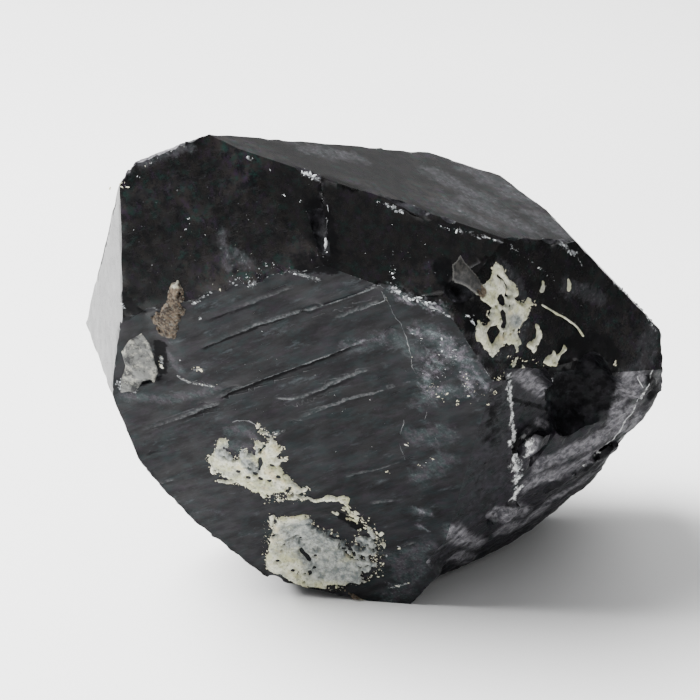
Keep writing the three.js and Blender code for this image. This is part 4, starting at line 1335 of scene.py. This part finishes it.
# %% Outlines of the crusts
RIGHT_CRUST = {
    "outlines": [
        [(8.8, 16.7), (9.9, 15.3), (9.4, 14.4), (9.5, 13.2), (9.6, 12.1), (10, 11.7), (9.9, 10.1),
         (9.1, 9.5), (8.4, 9.7), (8.6, 8.8), (9.6, 7.6), (10.7, 7.6), (11.1, 5.7), (9.8, 6.1), (9.1, 5.5),
         (8.4, 5.2), (7.4, 5.4), (5.9, 5.2), (4.8, 3.7), (3.9, 4.8), (2.9, 5.6), (2.1, 6.2), (0.6, 6),
         (-0.1, 6.4), (-0.3, 7.7), (-0.3, 9.6), (-0.7, 10.8), (0.1, 12.1), (1.2, 12.5), (1.5, 11.2),
         (2.4, 10.9), (2.9, 10.8), (3, 12.3), (4.3, 12.1), (3.9, 13.5), (3.9, 14.8), (4.3, 16), (4.9, 16.2),
         (6.4, 15.8), (7.4, 15.8), (8.2, 16.5)],
        [(7.2, -2.3), (8, -2.6), (8.6, -3.2), (9.5, -2.9), (9.3, -3.7), (10.2, -4.1), (11.3, -4.2),
         (11.2, -4.6), (9.8, -4.6), (9.1, -5.1), (8.1, -5.2), (7, -3.8), (6.6, -2.6)],
    ],
    "strokes": [
        (0.42, [(9.1, 2.7), (8.8, 1.3), (7.8, 0.7), (6.6, 1.1)]), (0.25, [(6.2, 1.9), (6.5, 0.2)]),
        (0.22, [(4.6, 4.2), (3.7, 2.8), (2.5, 2)]), (0.5, [(2, 2)]), (0.3, [(3.1, 0.1)]),
        (0.27, [(14.4, 7), (13.5, 6.2), (13, 6.2)]), (0.3, [(18.5, 3.1), (17.5, 1.9)]),
        (0.27, [(3.5, 18.1), (4, 14.9)]), (0.2, [(4.8, 17.8), (4.8, 15.4)]),
    ],
    "gaps": [
        [(1.2, 10.1), (2.4, 10.1), (3.4, 9.3), (3.3, 8.1), (2.5, 7.9), (1.4, 7.8), (0.8, 7.9), (0.8, 8.7)],
        [(5.1, 10.4), (5.8, 10.3), (5.8, 9.3), (5.1, 8), (4.4, 7.6), (3.9, 8), (3.8, 8.5), (4.6, 8.8)],
        [(5.9, 12.4), (6.4, 12.6), (7.1, 12.2), (7.1, 11.3), (6.5, 10.4), (6, 10.6), (5.7, 11.3)],
    ],
    "holes": [
        (0.13, [(8.2, 15), (8.6, 13.7), (8.5, 12.5), (7.5, 11.5)]), (0.25, [(7.1, 9.6)]),
    ],
}
LEFT_CRUST = {
    "outlines": [
        [(-16.4, 6.3), (-15.5, 6.1), (-15.4, 5.4), (-16.5, 3.9), (-16.9, 2.9), (-16.4, 2.4), (-16.4, 1.6),
         (-15.6, 1.9), (-14.8, 2.8), (-13.7, 2.9), (-13.6, 2.1), (-12.9, 1.7), (-12.9, 1.1), (-12, 2.3),
         (-11.6, 3.3), (-11.2, 4.7), (-10.7, 3.6), (-10.3, 2.7), (-9.4, 2.9), (-9, 3.4), (-9.4, 4.3),
         (-9.2, 4.9), (-9.4, 5.6), (-9.3, 6.9), (-8.8, 6.9), (-8.4, 5.6), (-8.6, 4.7), (-8.1, 4.4),
         (-8.3, 2.9), (-8.5, 2), (-7.7, 1.4), (-8.3, 1), (-8.8, 0.1), (-9.7, -0.4), (-9.5, -1),
         (-8.3, -0.9), (-8.5, -1.3), (-9.8, -1.7), (-10.2, -2.1), (-10.4, -4), (-10.3, -5), (-10, -6.4),
         (-9.7, -7.9), (-8.6, -7.9), (-8.9, -8.6), (-9.9, -8.8), (-10.1, -9.7), (-10.2, -10.5),
         (-11.2, -10.1), (-11.8, -10.1), (-13, -9.2), (-12.5, -8.5), (-11.1, -7.6), (-10.7, -7),
         (-11.6, -6.9), (-12.3, -7.4), (-13.3, -8.6), (-13.9, -9.4), (-14.7, -9.5), (-14.8, -8.9),
         (-14.1, -8.1), (-14.2, -7.1), (-14.8, -7.5), (-15.7, -7.8), (-16.3, -7.7), (-16.4, -6.8),
         (-16.2, -5.9), (-17, -6.2), (-17.6, -5.8), (-17.8, -4.7), (-18.6, -4.1), (-18.9, -3.3),
         (-20.6, -3), (-21.6, -2), (-21.1, -2), (-19.3, -2.6), (-19.7, -1.5), (-20.4, -1.3), (-20.3, -0.5),
         (-20.7, -0.4), (-21.8, -0.2), (-21.6, 0.7), (-21.1, 0.9), (-20.7, 1.9), (-20.7, 2.7), (-20.3, 3.3),
         (-19.7, 3.5), (-18.6, 4.1), (-17.6, 5.3)],
    ],
    "holes": [
        (0.42, [place]) for place in [
            (-17.3, -1.1), (-16.4, -2.9), (-14.9, -2.4), (-11.4, -1.7), (-11.7, -4.4), (-13.6, -4.7),
            (-14.7, -3.7), (-16.4, 3.7), (-15.9, 2.4)]
    ],
    "gaps": [
        [(-12.6, 0.6), (-12, 0.6), (-12.5, -0.7), (-13.8, -2.2), (-14.1, -1.9)],
    ],
    "gnawed": [
        (1.6, [(-17, 3.5), (-12.5, 2.5), (-9, 5)]), (1.4, [(-15, -8), (-10.5, -9.5)]),
    ],
}
FOOT_CRUST = {
    "outlines": [
        [(-17.2, -13.1), (-16.1, -12.5), (-15.1, -13.2), (-14.1, -13.9), (-12.9, -13.9), (-12, -14.5),
         (-12.6, -15.7), (-12.3, -16.2), (-13.1, -17.1), (-13.1, -18), (-12.2, -18.6), (-11.9, -19.2),
         (-10.8, -19.5), (-11.1, -20.4), (-10.5, -20.7), (-10.8, -21.9), (-9.8, -22.7), (-9.9, -24.1),
         (-9.2, -24.3), (-8.3, -23.7), (-7.9, -22.4), (-6.8, -22.3), (-6.2, -20.6), (-5.4, -20.4),
         (-4.1, -19.9), (-3.3, -20.7), (-3.8, -22.4), (-4.8, -23.9), (-4.9, -24.8), (-6.1, -26.3),
         (-6.7, -28), (-7.6, -29.2), (-8.5, -29.8), (-9.6, -30.9), (-10.7, -31.3), (-12, -31.1),
         (-13.5, -30.6), (-15, -31.1), (-16.5, -31.5), (-17.6, -30.4), (-19.2, -29.5), (-21, -28.8),
         (-22.1, -27.7), (-22.6, -26.3), (-23.6, -25), (-24.7, -23.7), (-24.4, -22.1), (-23.1, -20.1),
         (-21.8, -19.1), (-20.8, -17.1), (-19.6, -16.1), (-18.5, -14.6), (-17.6, -13.9)],
        [(-3.1, -21.4), (-2.2, -21.3), (-2.6, -23), (-3.2, -24.5), (-3.8, -25), (-3.5, -22.9)],
    ],
    "strokes": [
        (0.36, [(-9.9, -10.4), (-9, -11.3), (-7.8, -11.5), (-5.8, -11.6), (-4, -12.1), (-3.8, -13.1),
                (-4.6, -14.2)]),
        (0.6, [(-6.4, -11.5), (-4.8, -12.3), (-4.3, -13.6)]),
        (0.42, [(-7.2, -14.9), (-6.4, -15.9), (-5.9, -17.7), (-5.2, -19.1)]),
        (0.55, [(-5.4, -14.6), (-4.7, -16.4), (-4.4, -18.4)]), (0.6, [(-5.2, -18), (-4, -20)]),
        (0.42, [(-3.8, -15.9), (-3.2, -17.9)]), (0.25, [(-17.3, -12.2), (-18.7, -14)]),
        (0.15, [(-15, -31.5), (-14.2, -33.5), (-13.4, -35)]),
    ],
    "holes": [
        (0.4, [(-17.8, -21.9), (-17.6, -23.4), (-17.6, -24.4)]), (0.35, [(-16.3, -24)]),
        (0.35, [(-22, -21.8)]), (0.35, [(-20.9, -25)]), (0.35, [(-18.5, -26.6)]),
    ],
    "gnawed": [
        (4.4, [(-7.9, -27.5), (-6.2, -24.5), (-4.9, -20.5), (-4.6, -16)]),
        (3, [(-10.5, -21.5), (-9, -25.5)]), (2, [(-20, -31), (-12, -32), (-8, -30.5)]),
    ],
}
TAN_CRUST = {
    "outlines": [
        [(-7.6, 36.2), (-6.1, 36.3), (-6, 34.8), (-7.2, 33.1), (-6.9, 32.1), (-9.1, 30.3), (-11.4, 27.6),
         (-13.1, 27.8), (-14, 29.9), (-13.2, 32.2), (-11.2, 33.2), (-9.2, 34.2)],
    ],
    "strokes": [
        (1, [(-11.8, 31), (-9.6, 33), (-7.4, 34.6)]),
    ],
}

# %% The crust's finish


def crust_finish():
    """Mottled cream, turning grey, smoky or tan by the tint, with darker grains and pits."""
    f = Finish("pale crust")
    cream = f.blend(f.noise(2.4, 5, 0.7).rise(0.4, 0.6), (0.42, 0.42, 0.26), (0.62, 0.615, 0.50))
    cream = f.blend(f.noise(3.0, 4, 0.6).rise(0.5, 0.62) * 0.85, cream, (0.30, 0.31, 0.255))
    cream = f.blend(f.noise(2.0, 4, 0.6).rise(0.56, 0.68) * 0.7, cream, (0.52, 0.44, 0.25))
    grey = f.blend(f.noise(1.2, 5, 0.7).rise(0.38, 0.62), (0.11, 0.125, 0.125), (0.34, 0.355, 0.33))
    tan = f.blend(f.noise(0.9, 4, 0.7).rise(0.42, 0.6), (0.016, 0.010, 0.006), (0.088, 0.064, 0.042))
    cover = f.read("tint") + (f.noise(1.9, 6, 0.7) - 0.5) * 1.3
    hue = f.blend(cover.rise(0.02, 0.62), cream, grey)
    hue = f.blend(cover.rise(0.75, 1.25), hue, (0.030, 0.038, 0.042))
    hue = f.blend(cover.rise(-0.2, -0.55), hue, tan)
    grain = f.noise(0.4, 4, 0.75)
    hue = f.blend(grain.rise(0.48, 0.36) * 0.6, hue, (0.13, 0.125, 0.10))
    hue = f.blend(f.noise(1.0, 5, 0.75).rise(0.44, 0.34) * 0.7, hue, (0.13, 0.13, 0.115))
    return f.shine({"Base Color": hue, "Roughness": 0.75 + grain * 0.2,
                    "Specular IOR Level": 0.3, "Normal": f.bump(grain, 0.10)})


# %% The crusts made


def tinted(made_of, grey=(), tan=(), smoky=()):
    """A crust's shell with each point's tint: up to 0.6 inside the grey strokes, up to 1.8 inside the
    smoky ones too, and below 0 inside the tan ones."""
    made, faces = shell(*made_of)
    greyness, tanness, smokiness = (
        np.max([inside(made, made_of[0], *stroke) for stroke in strokes] + [np.zeros(len(made))], 0)
        for strokes in (grey, tan, smoky))
    return made, faces, 0.6 * np.minimum(1, 2 * greyness) - tanness + 1.2 * smokiness


gather("crusts", [
    tinted(crust("sideRight", 0.7, 0.34, **RIGHT_CRUST),
           grey=[(1.6, [(6.4, 6.9)])], tan=[(1.4, [(3.6, 18.2), (4.4, 15.6)])]),
    tinted(crust("sideFront", 0.6, 0.25, **LEFT_CRUST),
           grey=[(2.4, [(-16.8, 3.4), (-13, 3)]), (1.5, [(-14.6, 0.6), (-14.9, -1.6)])]),
    tinted(crust("sideFront", 0.6, 0.3, **FOOT_CRUST),
           grey=[(6, [(-15, -19), (-12, -22)]), (4, [(-8, -27), (-6, -23)]),
                 (3.4, [(-11.5, -28.8), (-16.5, -26.1), (-16, -20.5)])],
           tan=[(2.4, [(-20, -31), (-14, -33.5)])],
           smoky=[(2.6, [(-12.5, -17.2), (-10.6, -21.6), (-8.4, -23.6)])]),
    tinted(crust("sideFront", 0.7, 0.4, **TAN_CRUST), tan=[(12, [(-9, 32)])]),
], crust_finish())

# %% Tubes


def tube(path, radius, sides=8):
    """Rings of points round a path, each at right angles to it, and closed by a point at either end."""
    path = np.asarray(path, float)
    ahead = np.gradient(path, axis=0)
    ahead /= np.linalg.norm(ahead, axis=1)[:, None]
    first = np.cross(ahead, [0.2, 0.1, 1])
    first /= np.linalg.norm(first, axis=1)[:, None]
    second = np.cross(ahead, first)
    turn_by = (np.arange(sides) * 2 * np.pi / sides)[None, :, None]
    across = np.cos(turn_by) * first[:, None] + np.sin(turn_by) * second[:, None]
    rings = path[:, None] + radius[:, None, None] * across
    points = np.vstack([rings.reshape(-1, 3), path[:1], path[-1:]])
    i, j = np.meshgrid(np.arange(len(path) - 1), np.arange(sides), indexing="ij")
    a, b = i * sides + j, i * sides + (j + 1) % sides
    body = np.stack([a, b, b + sides, a + sides], 2).reshape(-1, 4).tolist()
    loop, after = np.arange(sides), (np.arange(sides) + 1) % sides
    last = (len(path) - 1) * sides
    start = np.c_[after, loop, np.full(sides, len(points) - 2)].tolist()
    end = np.c_[last + loop, last + after, np.full(sides, len(points) - 1)].tolist()
    return points, body + start + end


# %% [markdown]
# ## Veins and lips
# Fine white lines run along the ledges' lips, round the druse and down the cracks. Each is a thin tube
# with an uneven radius, sunk half into the skin, so it comes and goes as crushed stone does. A stroke is
# its radius and its line.

# %% Where the veins are
VEINS = {
    "sideFront": [
        (0.07, [(20.6, 26), (22, 26.3), (22.8, 25.7), (23.1, 25)]),
        (0.07, [(-13.3, 8.6), (-11.6, 8.7), (-10, 8.1), (-9.1, 6.7), (-8.5, 5.6)]),
        (0.08, [(22.3, 24.7), (22.3, 23.8), (22, 22.9), (20.7, 22.7), (19.5, 22.7)]),
        (0.07, [(22.5, 24), (22.1, 20.7), (22.2, 19.2), (22.2, 17.9), (21.5, 15.3), (21.2, 14.1),
                (21, 13.1), (20.5, 11.5), (19.7, 9.8), (19.6, 8.6), (19.7, 7.2)]),
        (0.07, [(-15.7, 20.6), (-15.1, 19.5), (-14.4, 18.6), (-12.7, 18.7), (-12.1, 17.5)]),
        (0.08, [(-8.7, 6.1), (-8.4, 5.3), (-8.7, 4.3)]),
        (0.06, [(19.7, 7.2), (19.1, 2.7), (16.3, -0.9), (15.9, -5.4)]),
        (0.06, [(13.3, 0.2), (10.3, -3.4), (9.2, -7.7)]),
    ],
    "tipRight": [
        (0.26, [(-2, 14.7), (-3.2, 14.1), (-5.6, 12.6), (-6.9, 11.9)]),
        (0.1, [(-0.8, 16.2), (-1.3, 15.3), (-2, 14.7)]), (0.08, [(-2.6, 29.2), (-2.7, 28.6), (-2.6, 28.1)]),
    ],
    "sideRight": [
        (0.07, [(22.1, 4.4), (22, 3.4), (21.9, 2.4)]),
    ],
    "wedge": [
        (0.17, [(15.1, 13.2), (14.3, 9.4), (13.4, 5.5), (12.1, 0.4), (11.2, -3.4), (10.9, -5.2)]),
        (0.12, [(15, 12.3), (14.2, 6.6), (12.8, 1.6), (10.8, -3.8)]),
        (0.12, [(36, -12), (35, -12.5), (32.6, -15.7), (30.2, -19.1), (27.7, -21.1), (24.5, -23.4),
                (21.9, -26.3)]),
        (0.08, [(33.7, -6.5), (33.4, -13.3), (31.4, -18.1)]),
    ],
}


# %% Veins on a face


def spaced(line):
    """Places every step along a line, wandering a little to either side by noise."""
    step = 0.2
    line = np.asarray(line, float)
    reach = np.r_[0, np.cumsum(np.linalg.norm(np.diff(line, axis=0), axis=1))]
    at = np.linspace(0, reach[-1], max(4, int(reach[-1] / step)))
    places = np.c_[np.interp(at, reach, line[:, 0]), np.interp(at, reach, line[:, 1])]
    return places + 0.13 * np.c_[layered(in_space(places), 1.1, 3), layered(in_space(places) + 50, 1.1, 3)]


def veins_on(face, strokes):
    """Tubes along the strokes of one face, half sunk in the skin."""
    lines = [spaced(line) for _, line in strokes]
    height = FACES[face][2] + dropped(face, np.vstack(lines))
    starts = np.cumsum([0] + [len(line) for line in lines])
    points, faces = [], []
    for (radius, _), line, start in zip(strokes, lines, starts):
        own = np.c_[line, height[start:start + len(line)]]
        uneven = 0.5 * radius * np.clip(0.7 + 1.9 * layered(own, 1.3, 4), 0.05, 2.2)
        own[:, 2] -= 0.7 * radius * (1 - smoothstep(noise(own + 70, 1.6), -0.5, 0.1))
        closing = np.minimum(1, 0.2 + np.arange(len(line)))
        uneven *= closing * closing[::-1]
        tube_points, tube_faces = tube(own, uneven, 6)
        faces += [[corner + sum(map(len, points)) for corner in f] for f in tube_faces]
        points.append(tube_points)
    points = to_part(np.vstack(points) @ face_axes(face))
    return points, faces, (1 if face == "wedge" else 0.3) + 0.4 * noise(points, 1.5)


# %% [markdown]
# ## Flecks
# Along the edges and ledges lie chips of crushed quartz and grains of the crust, a tenth of a millimetre
# to a millimetre across. They are twenty-sided lumps, each squashed, turned and jittered, strewn round
# strokes on a face and joined in one mesh.

# %% One fleck


def lump():
    """The twelve corners and twenty faces of an icosahedron of radius 1."""
    golden = (1 + 5**0.5) / 2
    edge = 1.1  # a little more than the length of an edge
    corners = np.array([(0, s, t * golden) for s in (-1, 1) for t in (-1, 1)], float)
    corners = np.vstack([np.roll(corners, k, 1) for k in range(3)]) / np.hypot(1, golden)
    faces = []
    for i, j, k in np.array(np.meshgrid(*[range(12)] * 3)).reshape(3, -1).T:
        if i < j < k and max(np.linalg.norm(corners[[i, j, k]] - corners[[j, k, i]], axis=1)) < edge:
            facing = np.cross(corners[j] - corners[i], corners[k] - corners[i]) @ corners[i]
            faces.append((i, j, k) if facing > 0 else (i, k, j))
    return corners, np.array(faces)


# %% Flecks on a face


def strewn_round(width, count, line):
    """Places scattered round a line: evenly along its length, and thick in its middle."""
    line = np.array([place[:2] for place in line], float)
    if len(line) == 1:
        return line + RNG.normal(0, width, (count, 2))
    step = np.linalg.norm(np.diff(line, axis=0), axis=1)
    reach = np.r_[0, np.cumsum(step)]
    at = RNG.uniform(0, reach[-1], count)
    on_line = np.c_[np.interp(at, reach, line[:, 0]), np.interp(at, reach, line[:, 1])]
    return on_line + RNG.normal(0, width * 0.6, (count, 2))


def flecks_on(face, strokes):
    """All flecks on one face: a jittered, turned and squashed lump at each place on the skin. About half
    of the white ones are smoky splinters, and their tint is one more. Most flecks are small, because
    their size goes by the cube of an even draw."""
    places = np.vstack([strewn_round(width, count, line) for width, count, _, _, line in strokes])
    size = 0.4 * np.concatenate([RNG.uniform(0, 1, count) ** 3 * (large - 0.5 * small) + 0.5 * small
                                 for _, count, (small, large), _, _ in strokes])
    tint = np.concatenate([tint + RNG.normal(0, 0.1, count) for _, count, _, tint, _ in strokes])
    tint += np.where((RNG.random(len(tint)) < 0.55) & (tint > 0.4), 1, 0)
    corners, faces = lump()
    shape = corners * RNG.uniform(0.45, 1.35, (len(places), len(corners), 1))
    spin = RNG.uniform(0, 2 * np.pi, len(places))
    stretch = RNG.uniform(0.8, 2.8, len(places))
    x = shape[:, :, 0] * stretch[:, None]
    turned = np.stack([x * np.cos(spin)[:, None] - shape[:, :, 1] * np.sin(spin)[:, None],
                       x * np.sin(spin)[:, None] + shape[:, :, 1] * np.cos(spin)[:, None],
                       shape[:, :, 2] * 0.35 + 0.05], 2) * size[:, None, None]
    base = np.c_[places, FACES[face][2] + dropped(face, places)]
    points = to_part((base[:, None] + turned).reshape(-1, 3) @ face_axes(face))
    faces = (faces + len(corners) * np.arange(len(places))[:, None, None]).reshape(-1, 3)
    return points, faces, np.repeat(tint, len(corners))


# %% Flecks and veins made


def fleck_finish():
    """Cream below a tint of 0.2, white above 0.75 and smoky above 1.5."""
    f = Finish("crushed quartz and grains")
    hue = f.blend(f.read("tint").rise(0.2, 0.75), (0.56, 0.53, 0.38), (0.50, 0.52, 0.53))
    hue = f.blend(f.read("tint").rise(1.15, 1.5) * 0.85, hue, (0.085, 0.09, 0.095))
    return f.shine({"Base Color": hue, "Roughness": 0.45 + f.noise(0.3, 2) * 0.4, "IOR": 1.5})


def vein_finish():
    """Grey to white crushed stone, whiter by the tint and by noise."""
    f = Finish("crushed quartz in a vein")
    crush = (f.read("tint") + f.noise(0.5, 4, 0.75) - 0.5).rise(0.0, 1.1)
    hue = f.blend(crush, (0.05, 0.055, 0.06), (0.50, 0.51, 0.51))
    return f.shine({"Base Color": hue, "Roughness": 0.5 + f.noise(0.3, 2) * 0.3, "Specular IOR Level": 0.3})


# crumbs of each crust lie along its outline
for face, crumbly in (("sideFront", LEFT_CRUST), ("sideFront", FOOT_CRUST), ("sideRight", RIGHT_CRUST)):
    ring = crumbly["outlines"][0]
    FLECKS[face].append((0.32, 9 * len(ring) // 2, (0.15, 0.42), 0.15, [*ring, ring[0]]))
flecks = gather("flecks", [flecks_on(*own) for own in FLECKS.items()], fleck_finish())
flecks.data.shade_flat()
gather("veins", [veins_on(*own) for own in VEINS.items()], vein_finish())

# %% [markdown]
# ## The pale block and the smoky flap
# A whitish block of quartz stands on the left of the front side, and a thin smoky flap hangs over the
# notch at the right side's corner. The block's top is the lowest of four slanting planes and of a slope
# up from its outline. The flap is a plate that floats off the skin, thin at its rim.

# %% The block
BLOCK = [(-21.8, 27.4), (-19.2, 29.1), (-16.6, 29.7), (-16.7, 27.3), (-18.5, 21.7), (-19.7, 20.7),
         (-21.6, 21.2), (-23.5, 20), (-26.2, 20.4), (-24.6, 22.6), (-22.6, 24.7)]
places, shape = grid_round(BLOCK, 0.6, 0.16)
depth = depth_in(places, BLOCK) + 0.12 * layered(in_space(places), 1.2, 3)
along, up = places.T
cuts = [1.0 + 0.16 * (along + 20), 1.15 - 0.22 * (up - 25), 0.8 - 0.2 * (along + 21.5),
        0.9 + 0.15 * (up - 24), 2.2 * depth]
rise = np.min(cuts, 0) + 0.1 * layered(in_space(places), 0.9, 3)
rise = np.where(depth > 0, np.maximum(rise, 0.05), np.maximum(depth, -SUNK))
base = dropped("sideFront", places)
block_points, block_faces = shell("sideFront", places, shape, base + rise, base - UNDER)


def block_finish():
    """Whitish clouds and dark veins."""
    f = Finish("pale quartz block")
    hue = f.blend(f.noise(2.6, 6, 0.74).rise(0.4, 0.58), (0.020, 0.021, 0.021), (0.130, 0.132, 0.124))
    hue = f.blend(f.noise(1.7, 5, 0.78).rise(0.5, 0.62) * 0.8, hue, (0.30, 0.295, 0.25))
    hue = f.blend(f.noise(1.3, 5, 0.7).rise(0.46, 0.36) * 0.85, hue, (0.018, 0.018, 0.02))
    return f.shine({"Base Color": hue, "Roughness": 0.5, "Specular IOR Level": 0.2,
                    "Normal": f.bump(f.noise(0.5, 4, 0.7), 0.12)})


gather("pale_block", [(block_points, block_faces, np.zeros(len(block_points)))], block_finish())

# %% The flap
FLAP = [(2.4, 23.6), (1.1, 21.7), (1.3, 21), (2.5, 18.9), (3.3, 16.4), (3.9, 14.8), (5, 15.7), (5.1, 18.2),
        (4.6, 20.3), (4.3, 21.9), (4.3, 23.4), (3.2, 23.3)]
places, shape = grid_round(FLAP, 0.6, 0.15)
depth = depth_in(places, FLAP) + 0.1 * layered(in_space(places), 0.9, 3)
middle = 0.15 + 0.1 * (places[:, 1] - 17) + 0.15 * noise(in_space(places), 2)
half = 0.16 * smoothstep(depth, 0, 0.25)
flap_points, flap_faces = shell("sideRight", places, shape, middle + half, middle - half, 0.01)
flap_places = (to_crystal(flap_points) @ face_axes("sideRight").T)[:, :2]


def flap_finish():
    """Smoky stone with a paler rim: its tint is how far inside the outline a point lies."""
    f = Finish("smoky flap")
    hue = f.blend(f.noise(1.1, 5, 0.7).rise(0.42, 0.62), (0.008, 0.008, 0.008), (0.050, 0.047, 0.042))
    rim = (f.read("tint") + f.noise(0.6, 4, 0.7) * 0.3).rise(0.40, 0.15)
    hue = f.blend(rim * 0.7, hue, (0.11, 0.107, 0.10))
    return f.shine({"Base Color": hue, "Roughness": 0.3 + f.noise(0.6, 3) * 0.2, "Specular IOR Level": 0.3,
                    "Normal": f.bump(f.noise(0.6, 3), 0.05)})


flap_tint = np.clip(depth_in(flap_places, FLAP), 0, 1)
gather("flap", [(flap_points, flap_faces, flap_tint)], flap_finish())

# %% [markdown]
# ## The thread of crust
# A stiff thread of the crust stands off the right side and lies across it: a tube along a path.

# %% The thread
THREAD = [(11.9, 4.6), (12.6, 3), (13.2, 1.3), (14, -0.7), (14.7, -2.8), (15, -4.7), (15.2, -6.1)]
STOPS = 60
at = np.linspace(0, len(THREAD) - 1, STOPS)
places = np.transpose([np.interp(at, range(len(THREAD)), line) for line in zip(*THREAD)])
places += 0.10 * np.c_[noise(in_space(places), 1.7), noise(in_space(places) + 30, 1.7)]
bow = 0.12 + 0.35 * np.sin(np.linspace(0, np.pi, STOPS))
path = to_part(np.c_[places, FACES["sideRight"][2] + bow] @ face_axes("sideRight"))
thick = 0.15 + 0.05 * noise(in_space(places) + 60, 0.8)
thick[[0, -1]] *= 0.4
thread_points, thread_faces = tube(path, thick)
thread = new_mesh("thread", thread_points, thread_faces, [crust_finish()])
give(thread, "tint", np.zeros(len(thread_points)))
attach(thread, "root")
print("thread:", len(thread_faces), "faces")

# %% [markdown]
# ## Floor and light
# The cluster stands on a plain white sheet. One broad soft light hangs over its upper left, behind it,
# so the shadow falls softly to the right. The room beyond the sheet is dim, and that dimness is what
# the black faces mirror.

# %% Floor


def floor_finish():
    """Nearly even white."""
    f = Finish("white sheet")
    hue = f.blend(f.noise(160, 2).rise(0.3, 0.7), (0.87, 0.87, 0.87), (0.90, 0.90, 0.895))
    return f.shine({"Base Color": hue, "Roughness": 0.8, "Specular IOR Level": 0.2})


corners = np.array([[-700, -500, 0], [160, -500, 0], [160, 900, 0], [-700, 900, 0]], float)
floor = new_mesh("floor", corners, [(0, 1, 2, 3)], [floor_finish()])

# %% Lights
ROOM = 0.32  # how bright the room beyond the sheet is
AIM = (0, 0, 40)


def softbox(name, place, width, height, watts):
    """A rectangular soft light at a place in millimetres, facing the cluster's middle."""
    light = bpy.data.lights.new(name, "AREA")
    light.shape = "RECTANGLE"
    light.size, light.size_y = width * MM, height * MM
    light.energy = watts
    lamp = bpy.data.objects.new(name, light)
    lamp.location = Vector(place) * MM
    lamp.rotation_euler = (Vector(place) - Vector(AIM)).to_track_quat("Z", "Y").to_euler()
    bpy.context.scene.collection.objects.link(lamp)


world = bpy.data.worlds.new("dim room")
world.use_nodes = True
background = world.node_tree.nodes["Background"].inputs
background["Color"].default_value = (0.98, 0.99, 1, 1)
background["Strength"].default_value = ROOM
bpy.context.scene.world = world
softbox("window", (-560, 60, 760), 820, 820, 54)
softbox("ceiling", (240, 330, 950), 900, 900, 4.5)
softbox("back wall", (260, 1150, 560), 900, 700, 0.5)
softbox("room side", (520, -500, 900), 900, 900, 1.4)
